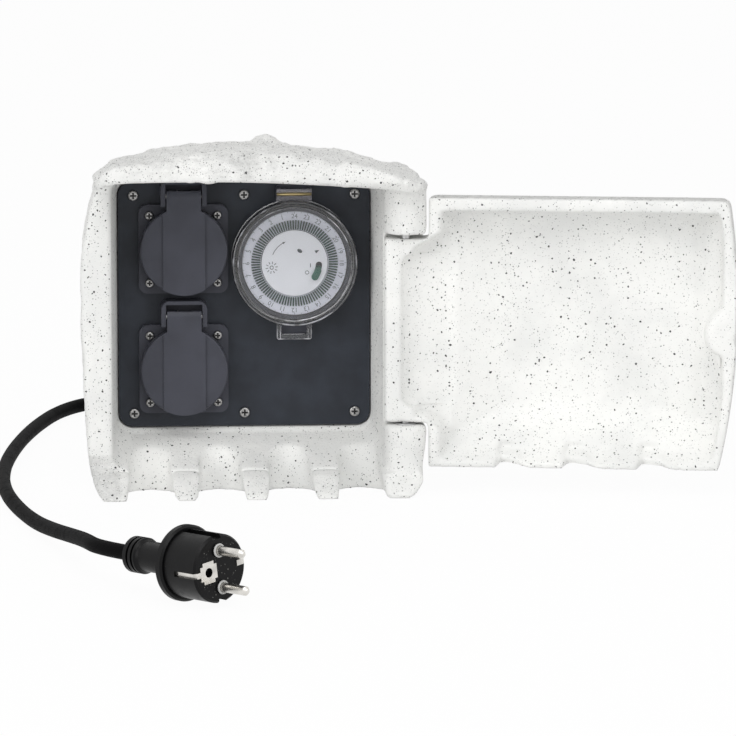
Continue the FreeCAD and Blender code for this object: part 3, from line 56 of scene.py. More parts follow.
def addCamera():
    down = math.radians(view["down"])
    turn = math.radians(view["fromLeft"])
    ahead = Vector((math.sin(turn) * math.cos(down), math.cos(turn) * math.cos(down), -math.sin(down)))
    eye = bpy.data.objects.new("camera", bpy.data.cameras.new("camera"))
    eye.data.lens = view["lens"]
    eye.data.sensor_width = 36.0
    eye.data.clip_end = 30.0
    eye.location = Vector(view["aim"]) - ahead * view["distance"]
    eye.rotation_euler = ahead.to_track_quat("-Z", "Y").to_euler()
    bpy.context.scene.collection.objects.link(eye)
    bpy.context.scene.camera = eye


addCamera()
print("camera ready")


# Shader maths: a wrapped socket on which Python's sums add Math nodes
class Wire:
    def __init__(self, tree, socket):
        self.tree = tree
        self.socket = socket

    # Makes any node: its settings go on first, then values or links on its sockets
    def make(self, kind, inputs=None, out=0, **settings):
        made = self.tree.nodes.new("ShaderNode" + kind)
        for name, value in settings.items():
            setattr(made, name, value)
        for name, value in (inputs or {}).items():
            if isinstance(value, Wire):
                self.tree.links.new(value.socket, made.inputs[name])
            else:
                made.inputs[name].default_value = value
        return Wire(self.tree, made.outputs[out])

    def sum(self, operation, first, second):
        return self.make("Math", {0: first, 1: second}, operation=operation)

    def __add__(self, other):
        return self.sum("ADD", self, other)

    def __mul__(self, other):
        return self.sum("MULTIPLY", self, other)

    def __lt__(self, other):
        return self.sum("LESS_THAN", self, other)

    def __gt__(self, other):
        return self.sum("GREATER_THAN", self, other)

    __radd__ = __add__
    __rmul__ = __mul__

    def most(self, other):
        return self.sum("MAXIMUM", self, other)

    def noise(self, size, detail=3.0, rough=0.5):
        settings = {"Vector": self, "Scale": 1 / size, "Detail": detail, "Roughness": rough}
        return self.make("TexNoise", settings)

    def blend(self, factor, first, second):
        colours = {0: factor}
        for place, value in ((6, first), (7, second)):
            colours[place] = value if isinstance(value, Wire) else (*value, 1.0)
        return self.make("Mix", colours, out=2, data_type="RGBA")

    # From 0 at low to 1 at high, easing in and out
    def range(self, low, high):
        steps = {"Value": self, "From Min": low, "From Max": high}
        return self.make("MapRange", steps, interpolation_type="SMOOTHSTEP")


# A new material, with what is the same all over set on its shader, and the piece's own coordinates
def startMaterial(name, **constants):
    made = bpy.data.materials.new(name)
    made.use_nodes = True
    shader = made.node_tree.nodes["Principled BSDF"]
    for socket, value in constants.items():
        shader.inputs[socket.replace("_", " ")].default_value = value
    where = Wire(made.node_tree, made.node_tree.nodes.new("ShaderNodeTexCoord").outputs["Object"])
    return made, shader, where


def feed(shader, **links):
    for socket, wire in links.items():
        wire.tree.links.new(wire.socket, shader.inputs[socket.replace("_", " ")])


# Fine grain that tilts the light: height is in metres
def grain(where, wire, height):
    return where.make("Bump", {"Height": wire, "Distance": height, "Strength": 1.0})


# Colours are linear values
# The stone's darkest grey is painted shade for its low places and some edges
stoneLook = {
    "white": (0.85, 0.85, 0.83), "shade": (0.70, 0.705, 0.695), "speck": (0.016, 0.016, 0.018),
    "middleSpeck": (0.09, 0.09, 0.092), "fineSpeck": (0.27, 0.27, 0.265), "hollow": (0.40, 0.40, 0.39),
    "crust": (0.72, 0.72, 0.71), "speckCell": 0.0023, "middleCell": 0.0015, "fineCell": 0.0010,
    "grainDepth": 0.00026,
}


# One random point in each cell; a speck where the surface comes near enough to it
def specks(where, cell, smallest, spread, share):
    wobble = where.make("TexNoise", {"Vector": where, "Scale": 1.3 / cell, "Detail": 1.0}, out=1)
    ragged = where.make("VectorMath", {0: wobble, 1: (0.5, 0.5, 0.5)}, operation="SUBTRACT")
    shift = where.make("VectorMath", {0: ragged, 3: cell * 0.55}, operation="SCALE")
    moved = where.make("VectorMath", {0: where, 1: shift}, operation="ADD")
    near = moved.make("TexVoronoi", {"Vector": moved, "Scale": 1 / cell})
    cellColour = Wire(near.tree, near.socket.node.outputs["Color"])
    split = cellColour.make("SeparateColor", {0: cellColour})
    second = Wire(split.tree, split.socket.node.outputs[1])
    radius = split * split * spread + smallest
    return (near < radius) * (second < share)


# Smooth where it was moulded against the tool; "rocky" marks the cast outside. The other attribute is
# painted shade: it paints the low places and some edges darker grey
def makeStone():
    made, shader, where = startMaterial("speckledStone", Roughness=0.62, Specular_IOR_Level=0.35)
    hollow = where.make("Attribute", attribute_name="hollow", out=2)
    rocky = where.make("Attribute", attribute_name="rocky", out=2)
    cloud = where.noise(0.045, 4.0, 0.6).range(0.35, 0.68)
    mottle = where.noise(0.0035, 4.0, 0.7).range(0.38, 0.72)
    base = where.blend(cloud * 0.6, stoneLook["white"], stoneLook["shade"])
    base = where.blend(rocky * mottle * 0.75, base, stoneLook["crust"])
    # Painted shade: a mottled darker grey where the shade attribute is high
    base = where.blend(hollow * (mottle * 0.5 + 0.5), base, stoneLook["hollow"])
    fine = specks(where, stoneLook["fineCell"], 0.08, 0.25, rocky * 0.25 + 0.74)
    base = where.blend(fine * (rocky * 0.35 + 0.5), base, stoneLook["fineSpeck"])
    middle = specks(where, stoneLook["middleCell"], 0.05, 0.2, rocky * 0.3 + 0.62)
    base = where.blend(middle * 0.85, base, stoneLook["middleSpeck"])
    large = specks(where, stoneLook["speckCell"], 0.07, 0.2, rocky * 0.2 + 0.58)
    base = where.blend(large, base, stoneLook["speck"])
    rough = where.noise(0.0016, 3.0, 0.65) * (rocky * 2.2 + 0.9) + where.noise(0.0065, 2.0) * 1.4
    feed(
        shader, Base_Color=base, Roughness=where.noise(0.01) * 0.2 + 0.5,
        Normal=grain(where, rough, stoneLook["grainDepth"]),
    )
    return made


# Moulded plastic: colour a little uneven, and a fine texture
def makePlastic(name, colour, roughness, grainSize=0.0006, depth=0.00002, uneven=0.12, gloss=0.5):
    made, shader, where = startMaterial(name, Specular_IOR_Level=gloss)
    tone = where.noise(0.02, 3.0).range(0.3, 0.7)
    darker = tuple(c * (1 - uneven) for c in colour)
    lighter = tuple(min(1.0, c * (1 + uneven)) for c in colour)
    dullness = where.noise(0.007, 3.0) * 0.12 + (roughness - 0.06)
    feed(
        shader, Base_Color=where.blend(tone, darker, lighter), Roughness=dullness,
        Normal=grain(where, where.noise(grainSize, 2.0), depth),
    )
    return made


# Metal with fine drawn lines along one axis
def makeMetal(name, colour, roughness, along=(1.0, 12.0, 12.0), depth=0.00001):
    made, shader, where = startMaterial(name, Metallic=1.0)
    stretched = where.make("Mapping", {"Vector": where, "Scale": along})
    lines = stretched.noise(0.004, 4.0, 0.7)
    dull = tuple(c * 0.72 for c in colour)
    tarnish = where.noise(0.006, 3.0).range(0.35, 0.75)
    feed(
        shader, Base_Color=where.blend(tarnish, colour, dull), Roughness=lines * 0.2 + (roughness - 0.1),
        Normal=grain(where, lines, depth),
    )
    return made


# Rubber keeps a bloom of grey in its hollows and a few scuffs
def makeRubber(name, colour, roughness, gloss=0.25):
    made, shader, where = startMaterial(name, Specular_IOR_Level=gloss)
    bloom = where.noise(0.005, 5.0, 0.65).range(0.45, 0.8)
    scuffed = tuple(c * 1.8 for c in colour)
    feed(
        shader, Base_Color=where.blend(bloom * 0.7, colour, scuffed), Roughness=bloom * 0.18 + roughness,
        Normal=grain(where, where.noise(0.0009, 3.0), 0.00003),
    )
    return made


# Plastic with a few pale moulding specks
def makeDotted(name, colour, speck, cell, roughness):
    made, shader, where = startMaterial(name, Specular_IOR_Level=0.16)
    base = where.blend(where.noise(0.01, 3.0), colour, tuple(c * 1.6 for c in colour))
    base = where.blend(specks(where, cell, 0.08, 0.17, 0.7), base, speck)
    feed(
        shader, Base_Color=base, Roughness=where.noise(0.004) * 0.15 + roughness,
        Normal=grain(where, where.noise(0.0008, 3.0), 0.00003),
    )
    return made


# Screws are bright steel on their tops, with painted shade making their recesses and rims dark; top is the
# heads' plane
def makeScrewSteel(name, top):
    made, shader, where = startMaterial(name, Metallic=1.0)
    split = where.make("SeparateXYZ", {0: where}, out=1)
    # Painted shade: near black below the heads' plane
    recessShade = split.range(top + 0.0003, top + 0.0009)
    scratched = where.noise(0.0012, 3.0, 0.7).range(0.3, 0.7)
    steel = where.blend(scratched, (0.22, 0.22, 0.22), (0.50, 0.49, 0.48))
    feed(
        shader, Base_Color=where.blend(recessShade * 0.94, steel, (0.012, 0.012, 0.012)),
        Roughness=scratched * 0.15 + 0.25,
    )
    return made


# The dial is pale, but black inside this radius about its axis, where it shows through the slide's slot
def makeDialRing(name, centre, radius):
    made, shader, where = startMaterial(name)
    offset = where.make("VectorMath", {0: where, 1: (centre[0], 0.0, centre[1])}, operation="SUBTRACT")
    flat = where.make("VectorMath", {0: offset, 1: (1.0, 0.0, 1.0)}, operation="MULTIPLY")
    away = where.make("VectorMath", {0: flat}, out=1, operation="LENGTH")
    tone = where.noise(0.02, 3.0)
    rim = where.blend(tone, (0.76, 0.77, 0.86), (0.82, 0.83, 0.92))
    feed(
        shader, Base_Color=where.blend(away < radius, rim, (0.006, 0.007, 0.008)),
        Roughness=tone * 0.1 + 0.35, Normal=grain(where, where.noise(0.0008, 2.0), 0.00001),
    )
    return made


# Painted highlights: brighter and darker stretches along a polished edge
def makeClearEdge(name, dark, bright):
    made, shader, where = startMaterial(name, Specular_IOR_Level=0.8)
    gleam = where.noise(0.013, 2.0, 0.6).range(0.42, 0.66)
    feed(shader, Base_Color=where.blend(gleam, dark, bright), Roughness=gleam * 0.1 + 0.1)
    return made


# Half see-through plastic with level streaks; opacity is its middle value
def makeCloudy(name, colour, opacity):
    made, shader, where = startMaterial(name)
    streaks = where.make("Mapping", {"Vector": where, "Scale": (0.35, 1.0, 2.4)}).noise(0.004, 3.0, 0.6)
    darker = tuple(c * 0.6 for c in colour)
    lighter = tuple(c * 1.5 for c in colour)
    feed(
        shader, Base_Color=where.blend(streaks, darker, lighter), Roughness=streaks * 0.2 + 0.08,
        Alpha=streaks * 0.3 + (opacity - 0.15),
    )
    return made


# Clear moulded plastic with a faint haze
def makeClear(name, colour, roughness):
    made, shader, where = startMaterial(name, Transmission_Weight=1.0, IOR=1.47)
    haze = where.noise(0.015, 3.0).range(0.3, 0.8)
    paler = tuple(c * 0.985 for c in colour)
    feed(shader, Base_Color=where.blend(haze, colour, paler), Roughness=haze * 0.03 + roughness)
    return made


print("materials start")
looks = {
    "stone": makeStone(),
    "panel": makePlastic("slatePanel", (0.022, 0.026, 0.035), 0.42, 0.0009, 0.00005, 0.2, 0.28),
    "socket_plastic": makePlastic("socketPlastic", (0.047, 0.049, 0.063), 0.46, 0.0005, 0.00002, 0.1, 0.3),
    "screw_steel": makeMetal("screwSteel", (0.62, 0.61, 0.59), 0.34),
    "steel": makeMetal("pinSteel", (0.55, 0.55, 0.55), 0.36),
    "pin_nickel": makeMetal("nickel", (0.74, 0.72, 0.68), 0.26, (12.0, 12.0, 1.0)),
    "brass": makeMetal("brassPlate", (0.55, 0.44, 0.22), 0.33, (12.0, 1.0, 12.0)),
    "clear_cover": makeClear("clearCover", (0.97, 0.975, 0.98), 0.02),
    "dial_white": makePlastic("dialWhite", (0.93, 0.94, 0.99), 0.38, 0.0008, 0.00001, 0.01),
    "gear_plastic": makePlastic("gearPlastic", (0.72, 0.70, 0.62), 0.45, 0.0008, 0.00001, 0.04),
    "tappet_green": makePlastic("tappetGreen", (0.012, 0.05, 0.038), 0.42, 0.0005, 0.00001, 0.25),
    "switch_green": makePlastic("switchGreen", (0.006, 0.085, 0.055), 0.35, 0.0009, 0.00006, 0.35),
    "motor_metal": makeMetal("motorCan", (0.6, 0.6, 0.6), 0.38),
    "switch_body": makePlastic("switchBody", (0.02, 0.02, 0.022), 0.4),
    "box_plastic": makePlastic("boxPlastic", (0.03, 0.03, 0.032), 0.5),
    "gland_plastic": makePlastic("glandPlastic", (0.018, 0.018, 0.02), 0.42),
    "terminal_plastic": makePlastic("terminalPlastic", (0.72, 0.71, 0.66), 0.45, uneven=0.04),
    "wire_brown": makePlastic("wireBrown", (0.07, 0.03, 0.013), 0.4),
    "wire_green": makePlastic("wireGreen", (0.18, 0.32, 0.02), 0.4),
    "wire_blue": makePlastic("wireBlue", (0.015, 0.05, 0.26), 0.4),
    "seal_rubber": makeRubber("sealRubber", (0.012, 0.012, 0.012), 0.6),
    "cord_rubber": makeRubber("cordRubber", (0.0022, 0.0022, 0.0024), 0.60, 0.03),
    "plug_rubber": makeRubber("plugRubber", (0.0025, 0.0025, 0.0028), 0.34, 0.16),
    "plug_plastic": makeDotted("plugFace", (0.0025, 0.0025, 0.0028), (0.16, 0.16, 0.15), 0.0015, 0.34),
    "tie_plastic": makePlastic("tiePlastic", (0.015, 0.015, 0.016), 0.4),
}
ink = makePlastic("dialInk", (0.035, 0.045, 0.05), 0.5, 0.0005, 0.000004)
paleInk = makePlastic("paleInk", (0.17, 0.19, 0.21), 0.5, 0.0005, 0.000004)
# Painted highlights and painted reflections for the clear cover's edges, in dark and bright stretches
paintedHighlightEdge = makeClearEdge("paintedHighlightEdge", (0.15, 0.15, 0.16), (0.80, 0.80, 0.86))
cloudy = makeCloudy("cloudyTab", (0.36, 0.35, 0.38), 0.42)
pinCollar = makePlastic("pinCollar", (0.50, 0.50, 0.49), 0.35, 0.0006, 0.00001, 0.1)

slots = {part["node"]: part["material_slot"] for part in frame["record"]["subparts"]}
for name, node in nodes.items():
    node.data.materials.clear()
    node.data.materials.append(looks[slots[name]])
for name in ("panel_screws", "flange_screws_upper", "flange_screws_lower"):
    nodes[name].data.materials[0] = makeScrewSteel(name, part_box(name)[0][1])
print("materials on the nodes")


# Puts arrays of points and faces into a new mesh
def addPiece(name, points, faces, look, smooth=True):
    mesh = bpy.data.meshes.new(name)
    mesh.from_pydata(np.asarray(points, float).tolist(), [], [list(map(int, face)) for face in faces])
    mesh.polygons.foreach_set("use_smooth", np.full(len(mesh.polygons), smooth))
    mesh.update()
    made = bpy.data.objects.new(name, mesh)
    made.data.materials.append(look)
    bpy.context.scene.collection.objects.link(made)
    return made


# The lead: straight out of its sleeve, down to the coil, round the left of the box and to the plug
lead = {
    "radius": 0.004, "coilCentre": (-0.020, 0.216), "coilInner": 0.035, "coilPitch": 0.010, "floor": 0.005,
    "lift": 0.0086, "quartersIn": 6, "quartersOut": 5, "pointsPerTurn": 16, "length": 1.604,
    "fromGland": [
        (0.030, 0.099, 0.047), (0.030, 0.1155, 0.047), (0.030, 0.1315, 0.0408), (0.030, 0.1755, 0.0198),
        (0.030, 0.1915, 0.0136),
    ],
    "toPlug": [
        (-0.055, 0.2635, 0.005), (-0.0845, 0.2525, 0.004), (-0.1022, 0.222, 0.004),
        (-0.1152, 0.174, 0.004), (-0.1248, 0.124, 0.004), (-0.1316, 0.074, 0.004),
        (-0.1356, 0.027, 0.004), (-0.1364, -0.019, 0.004), (-0.1332, -0.063, 0.004),
        (-0.1268, -0.105, 0.004), (-0.1186, -0.146, 0.005), (-0.110, -0.185, 0.0084),
        (-0.1018, -0.221, 0.0124), (-0.0946, -0.255, 0.0162), (-0.0885, -0.2869, 0.0182),
        (-0.0703, -0.3082, 0.0188),
    ],
}


# Angle grows evenly; the radius shrinks on the upper layer, holds while the lead climbs down, then grows
def coilTurns():
    quarters = lead["quartersIn"] + 2 + lead["quartersOut"]
    q = np.arange(quarters * lead["pointsPerTurn"] // 4 + 1) * 4 / lead["pointsPerTurn"]
    step = lead["coilPitch"] / 4
    down = np.clip((q - lead["quartersIn"]) / 2, 0, 1)
    fit = 1 / math.cos(math.pi / lead["pointsPerTurn"]) ** 0.5
    radius = lead["coilInner"] + step * np.maximum(lead["quartersIn"] - q, 0)
    radius = (radius + step * np.maximum(q - lead["quartersIn"] - 2, 0)) * fit
    height = lead["floor"] + lead["lift"] * (1 - down * down * (3 - 2 * down))
    angle = q * math.pi / 2
    x = lead["coilCentre"][0] + radius * np.cos(angle)
    y = lead["coilCentre"][1] + radius * np.sin(angle)
    return np.stack((x, y, height), 1)


# One smooth line through the gland's run, the coil and the run to the plug, with a round section
def addLead():
    route = np.concatenate((lead["fromGland"], coilTurns(), lead["toPlug"]))
    curve = bpy.data.curves.new("mainsLead", "CURVE")
    curve.dimensions = "3D"
    curve.bevel_depth = lead["radius"]
    curve.bevel_resolution = 6
    curve.resolution_u = 8
    line = curve.splines.new("NURBS")
    line.points.add(len(route) - 1)
    line.points.foreach_set("co", np.column_stack((route, np.ones(len(route)))).ravel())
    line.order_u = 3
    line.use_endpoint_u = True
    made = bpy.data.objects.new("mainsLead", curve)
    made.data.materials.append(looks["cord_rubber"])
    bpy.context.scene.collection.objects.link(made)
    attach(made, "box")
    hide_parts("cord_from_gland", "cord_coil", "cord_to_plug")
    ([nodes[n] for n in (
            "cord_sleeve", "coil_tie", "plug_body", "plug_face", "plug_pins", "plug_earth_clips")]
        + [addPinCollars()])


# Random numbers on a grid of this size, blended smoothly between its corners
def latticeNoise(points, size, seed):
    table = np.random.default_rng(seed).random(8192)
    scaled = points / size
    corner = np.floor(scaled).astype(np.int64)
    f = scaled - corner
    f = f * f * (3 - 2 * f)
    total = np.zeros(len(points))
    for i in range(8):
        step = np.array((i & 1, i >> 1 & 1, i >> 2 & 1))
        place = (corner + step) * (73856093, 19349663, 83492791)
        weight = np.prod(np.where(step == 1, f, 1 - f), axis=1)
        total += table[(place[:, 0] ^ place[:, 1] ^ place[:, 2]) % 8192] * weight
    return total


# Sum of noise on ever finer grids, each folded at its middle so that it makes rounded lumps with creases
def lumps(points, sizes, shares, seed):
    total = np.zeros(len(points))
    for i, (size, share) in enumerate(zip(sizes, shares)):
        total += share * np.abs(2 * latticeNoise(points, size, seed + i) - 1)
    return total / sum(shares)


# A smooth step from 0 at low to 1 at high: with t the share of the way, t squared times (3 - 2 t)
def rise(values, low, high):
    t = np.clip((values - low) / (high - low), 0, 1)
    return t * t * (3 - 2 * t)


# A closed copy of a stone node in small even faces, its edges a little rounded
def castCopy(node, voxel, rounding):
    work = bmesh.new()
    work.from_mesh(nodes[node].data)
    bmesh.ops.remove_doubles(work, verts=work.verts, dist=0.00001)
    mesh = bpy.data.meshes.new("cast")
    work.to_mesh(mesh)
    work.free()
    made = bpy.data.objects.new("cast", mesh)
    bpy.context.scene.collection.objects.link(made)
    remesh = made.modifiers.new("even", "REMESH")
    remesh.mode = "VOXEL"
    remesh.voxel_size = voxel
    remesh.adaptivity = 0.0
    soften = made.modifiers.new("soften", "SMOOTH")
    soften.factor = 0.5
    soften.iterations = rounding
    graph = bpy.context.evaluated_depsgraph_get()
    even = bpy.data.meshes.new_from_object(made.evaluated_get(graph))
    bpy.data.objects.remove(made)
    return even


# A mesh's points and the directions its surface faces there, as rows of three
def meshArrays(mesh):
    points = np.empty(len(mesh.vertices) * 3)
    mesh.vertices.foreach_get("co", points)
    normals = np.empty(len(mesh.vertices) * 3, np.float32)
    mesh.vertex_normals.foreach_get("vector", normals)
    return points.reshape(-1, 3), normals.reshape(-1, 3).astype(float)


# A relief gives each point's new place, how much painted shade it gets and how rocky it is, for the colour
def roughen(node, name, settings, relief):
    mesh = castCopy(node, settings["voxel"], settings["rounding"])
    points, normals = meshArrays(mesh)
    moved, hollow, rocky = relief(points, normals)
    mesh.vertices.foreach_set("co", moved.ravel())
    for label, values in (("hollow", hollow), ("rocky", rocky)):
        mesh.attributes.new(label, "FLOAT", "POINT").data.foreach_set("value", values)
    mesh.polygons.foreach_set("use_smooth", np.ones(len(mesh.polygons), bool))
    mesh.update()
    mesh.name = name
    made = bpy.data.objects.new(name, mesh)
    made.data.materials.clear()
    made.data.materials.append(looks["stone"])
    bpy.context.scene.collection.objects.link(made)
    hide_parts(node)
    print(name, len(mesh.vertices), "points")
    return made


shell = {
    "voxel": 0.0018, "rounding": 3, "depth": 0.0070, "seed": 11, "fine": 0.0032, "fineShare": 0.14,
    "coarse": (0.034, 0.015, 0.007), "shares": (1.0, 0.85, 0.45), "level": 0.42, "gland": (0.030, 0.047),
    "rockiness": (1.0, 0.45, 0.8, 0.5, 0.8, 0.45, 0.4), "footTop": 0.0125, "footBack": -0.034,
    "footLean": 0.78, "columnFront": -0.0515, "columnTop": 0.0380, "columnWiden": 0.0004,
    "footWiden": 0.0030, "leftFootShade": 0.62, "shadedRockyApron": 0.0225,
    "hollowFrom": 0.1, "hollowGain": 1.6,
}


# Depth of the lumps: most on the roof and the overhang, little at the sides, none inside or underneath.
# Then the front feet lean back, and the right one widens and runs up into its column.
def shellRelief(points, normals):
    x, y, z = points.T
    side, ahead, up = normals[:, 0], -normals[:, 1], normals[:, 2]
    away = np.hypot(x - shell["gland"][0], z - shell["gland"][1])
    places = (
        (1.0, rise(up, 0.05, 0.4) * rise(z, 0.160, 0.172)),
        (0.75, rise(ahead, 0.3, 0.8) * rise(z, 0.166, 0.174) * rise(-y, 0.045, 0.055)),
        (0.5, rise(-ahead, 0.3, 0.8) * rise(y, 0.035, 0.045) * rise(away, 0.019, 0.03)),
        (0.34, rise(-side, 0.4, 0.9) * rise(-x, 0.080, 0.086)),
        (0.4, rise(side, 0.4, 0.9) * rise(x, 0.080, 0.086) * rise(y, 0.0, 0.01)),
        (0.25, rise(ahead, 0.2, 0.7) * rise(-y, 0.048, 0.054) * rise(0.030 - z, 0, 0.006)),
        (0.12, rise(ahead, -0.2, 0.3) * rise(x, 0.073, 0.079) * rise(-y, 0.038, 0.046)),
    )
    ground = rise(z, 0.0005, 0.004)
    mask = np.max([share * place for share, place in places], axis=0) * ground
    rocky = np.max([place * weight for (share, place), weight in zip(places, shell["rockiness"])], axis=0)
    field = lumps(points, shell["coarse"], shell["shares"], shell["seed"]) - shell["level"]
    field = field + shell["fineShare"] * (latticeNoise(points, shell["fine"], 5) - 0.5)
    moved = points - normals * (shell["depth"] * mask * field)[:, None]
    # Painted shade: the lower a lump's surface lies, the darker grey it is painted
    hollow = mask * (field + shell["hollowFrom"]) * shell["hollowGain"]

    # A foot's front leans back from its toe to its top edge; the right one meets its column
    lean = np.clip(z / shell["footTop"], 0, 1) * rise(0.030 - z, 0.0, 0.012)
    left = rise(0.076 - x, 0.0, 0.006)
    behind = np.minimum(moved[:, 1] - shell["footBack"], 0) * shell["footLean"] * left
    behind = behind + np.minimum(moved[:, 1] - shell["columnFront"], 0) * (1 - left)
    moved[:, 1] -= behind * lean
    # The column must stay narrow here: the door's knuckle passes close by as it swings
    wide = rise(x, 0.088, 0.096) * rise(-y, 0.030, 0.038)
    moved[:, 0] += wide * rise(shell["columnTop"] - z, 0, 0.002) * shell["columnWiden"]
    moved[:, 0] += wide * rise(0.018 - z, 0, 0.013) * shell["footWiden"]
    # Painted shade: the lower left rim and its foot are painted darker grey, more at the far left, and are
    # as speckled as the rough outside
    shadedRockyApron = rise(-x, 0.070, 0.0735) * rise(-y, 0.030, 0.033) * rise(shell["shadedRockyApron"] - z, 0, 0.0015)
    hollow += shell["leftFootShade"] * shadedRockyApron * (0.55 + 0.45 * rise(-x, 0.080, 0.092))
    rocky = np.maximum(rocky, shadedRockyApron)
    return moved, np.clip(hollow, 0, 1), np.clip(rocky, 0, 1)


door = {
    "voxel": 0.0015, "rounding": 5, "outerDepth": 0.0036, "seed": 31, "hinge": (0.0873, -0.0390),
    "open": 171.0, "waves": ((0.060, 0.0030), (0.024, 0.0012)), "lumpAt": 0.0994, "lumpReach": 0.030,
    "lumpShift": 0.009, "swellAt": (-0.088, 0.0865), "swell": 0.0055,
    "plainDips": (-0.060, -0.019, 0.0195), "dipReach": 0.006, "dipFrom": 0.0036,
    "archFrom": (0.0374, 0.0007, -0.0409), "archTo": (0.0157, -0.0248, -0.0653), "archUp": 0.0024,
    "archDeep": 0.0070, "pocketAcross": (0.056, 0.062, 0.068, 0.075, 0.083),
    "pocketFloor": (-0.0535, -0.0515, -0.0498, -0.0475, -0.0445),
    "pocketTop": (0.1530, 0.1490, 0.1450, 0.1412, 0.1368),
    "pocketLow": (0.0330, 0.0355, 0.0385, 0.0425, 0.0445), "notches": (0.0396, 0.1426),
    "notchShift": 0.0006, "topShade": 0.7, "sideShade": 0.5,
}


# Turns level coordinates about the hinge by this many degrees
def turnAbout(points, degrees, centre):
    c, s = math.cos(math.radians(degrees)), math.sin(math.radians(degrees))
    x, y = points[:, 0] - centre[0], points[:, 1] - centre[1]
    return np.stack((centre[0] + c * x - s * y, centre[1] + s * x + c * y, points[:, 2]), 1)


# Worked out on the closed door. The outer face is as lumpy as the roof; the bowl has broad waves and the
# arches at its lower edge; the pocket beside the knuckle gets slanted corners.
def doorRelief(points, normals):
    shut = turnAbout(points, -door["open"], door["hinge"])
    facing = turnAbout(normals, -door["open"], (0.0, 0.0))
    x, y, z = shut.T
    free = rise(0.062 - x, 0.0, 0.013)
    outer = rise(-facing[:, 1], 0.2, 0.6) * free
    field = lumps(points, shell["coarse"], shell["shares"], door["seed"]) - shell["level"]
    moved = shut - facing * (door["outerDepth"] * outer * field)[:, None]

    bowl = rise(facing[:, 1], 0.3, 0.8) * rise(-0.040 - y, 0.0, 0.012)
    for i, (size, depth) in enumerate(door["waves"]):
        moved[:, 1] += depth * bowl * (latticeNoise(shut, size, 8 + i) - 0.3)
    # Each arch starts steeply beside one knob and fades out towards the next
    arch = np.zeros(len(x))
    plain = np.zeros(len(x))
    for start, end, dip in zip(door["archFrom"], door["archTo"], door["plainDips"][::-1]):
        t = np.clip((start - x) / (start - end), 0, 1)
        arch = np.maximum(arch, rise(t, 0.0, 0.14) * rise(1 - t, 0.0, 0.75))
        reach = np.maximum(door["dipReach"] ** 2 - (x - dip) ** 2, 0)
        plain = np.maximum(plain, np.sqrt(reach) - door["dipFrom"])
    low = rise(0.034 - z, 0.0, 0.018)
    moved[:, 2] += low * (door["archUp"] * arch - plain)
    moved[:, 1] -= door["archDeep"] * arch * rise(0.030 - z, 0.0, 0.008) * rise(facing[:, 1], -0.2, 0.3)
    # The lump at the free edge sits lower than in the plain form
    lump = np.exp(-((z - door["lumpAt"]) / door["lumpReach"]) ** 2) * rise(-x, 0.062, 0.080)
    moved[:, 2] -= door["lumpShift"] * lump
    swellX, swellZ = door["swellAt"]
    swell = np.exp(-((z - swellZ) / 0.020) ** 2 - ((x - swellX) / 0.019) ** 2)
    swell *= rise(-0.036 - y, 0.0, 0.010)
    moved[:, 1] += door["swell"] * swell * rise(facing[:, 1], 0.0, 0.4)
    # Slanted corners
    top = np.interp(x, door["pocketAcross"], door["pocketTop"])
    bottom = np.interp(x, door["pocketAcross"], door["pocketLow"])
    span = rise(x, 0.058, 0.066) * rise(0.0835 - x, 0.0, 0.003)
    corner = rise(top - z, -0.0015, 0.0025) * rise(z - bottom, -0.0015, 0.0025) * span
    floor = np.minimum(moved[:, 1], np.interp(x, door["pocketAcross"], door["pocketFloor"]))
    inner = rise(facing[:, 1], -0.5, 0.1) * rise(y, -0.060, -0.055)
    moved[:, 1] += (floor - moved[:, 1]) * corner * inner

    # Beside the columns the notches' edges come close
    notch = rise(x, 0.0705, 0.0728) * rise(0.0755 - x, 0.0, 0.001) * rise(y, -0.047, -0.040)
    notchLow, notchTop = door["notches"]
    outside = np.maximum(rise(notchLow - z, 0.0, 0.001), rise(z - notchTop, 0.0, 0.001))
    moved[:, 0] += door["notchShift"] * notch * outside
    # Painted shade: the top edge and the free side are painted a little grey, and are as speckled as the
    # outside
    edge = door["topShade"] * rise(facing[:, 2], 0.75, 0.95) * rise(z, 0.162, 0.164)
    edge = edge + door["sideShade"] * rise(-facing[:, 0], 0.6, 0.9) * rise(-x, 0.080, 0.090)
    # Painted shade: the low places of the lumpy outer face, and the edges above, are painted darker grey
    hollow = outer * (field + shell["hollowFrom"]) * shell["hollowGain"] + edge
    moved = turnAbout(moved, door["open"], door["hinge"])
    return moved, np.clip(hollow, 0, 1), np.clip(outer + edge, 0, 1)


shellPiece = roughen("stone_body", "rockShell", shell, shellRelief)
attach(shellPiece, "box")
doorPiece = roughen("stone_door", "rockDoor", door, doorRelief)
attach(doorPiece, "door")
print("stone ready")


# Printed marks on the timer, each a thin raised film
dial = {
    "x": 0.0277, "z": 0.1241, "face": -0.0020, "numberRadius": 0.0264, "numberHeight": 0.0027,
    "textScale": 1.35, "ticks": 48, "film": 0.00008, "tickRadius": 0.0290, "hourTick": 0.0011,
    "halfTick": 0.0006, "tickWidth": 0.00022, "plateFace": -0.0024, "slotReach": 0.0188,
}
nodes["dial_ring"].data.materials[0] = makeDialRing("dialRing", (dial["x"], dial["z"]), dial["slotReach"])


# Turns flat points (u, v) about the dial's axis: v points outwards at this angle from the top, clockwise
def onDial(u, v, angle, y):
    c, s = math.cos(angle), math.sin(angle)
    return np.stack((dial["x"] + u * c + v * s, np.full(np.shape(u), y), dial["z"] - u * s + v * c), -1)


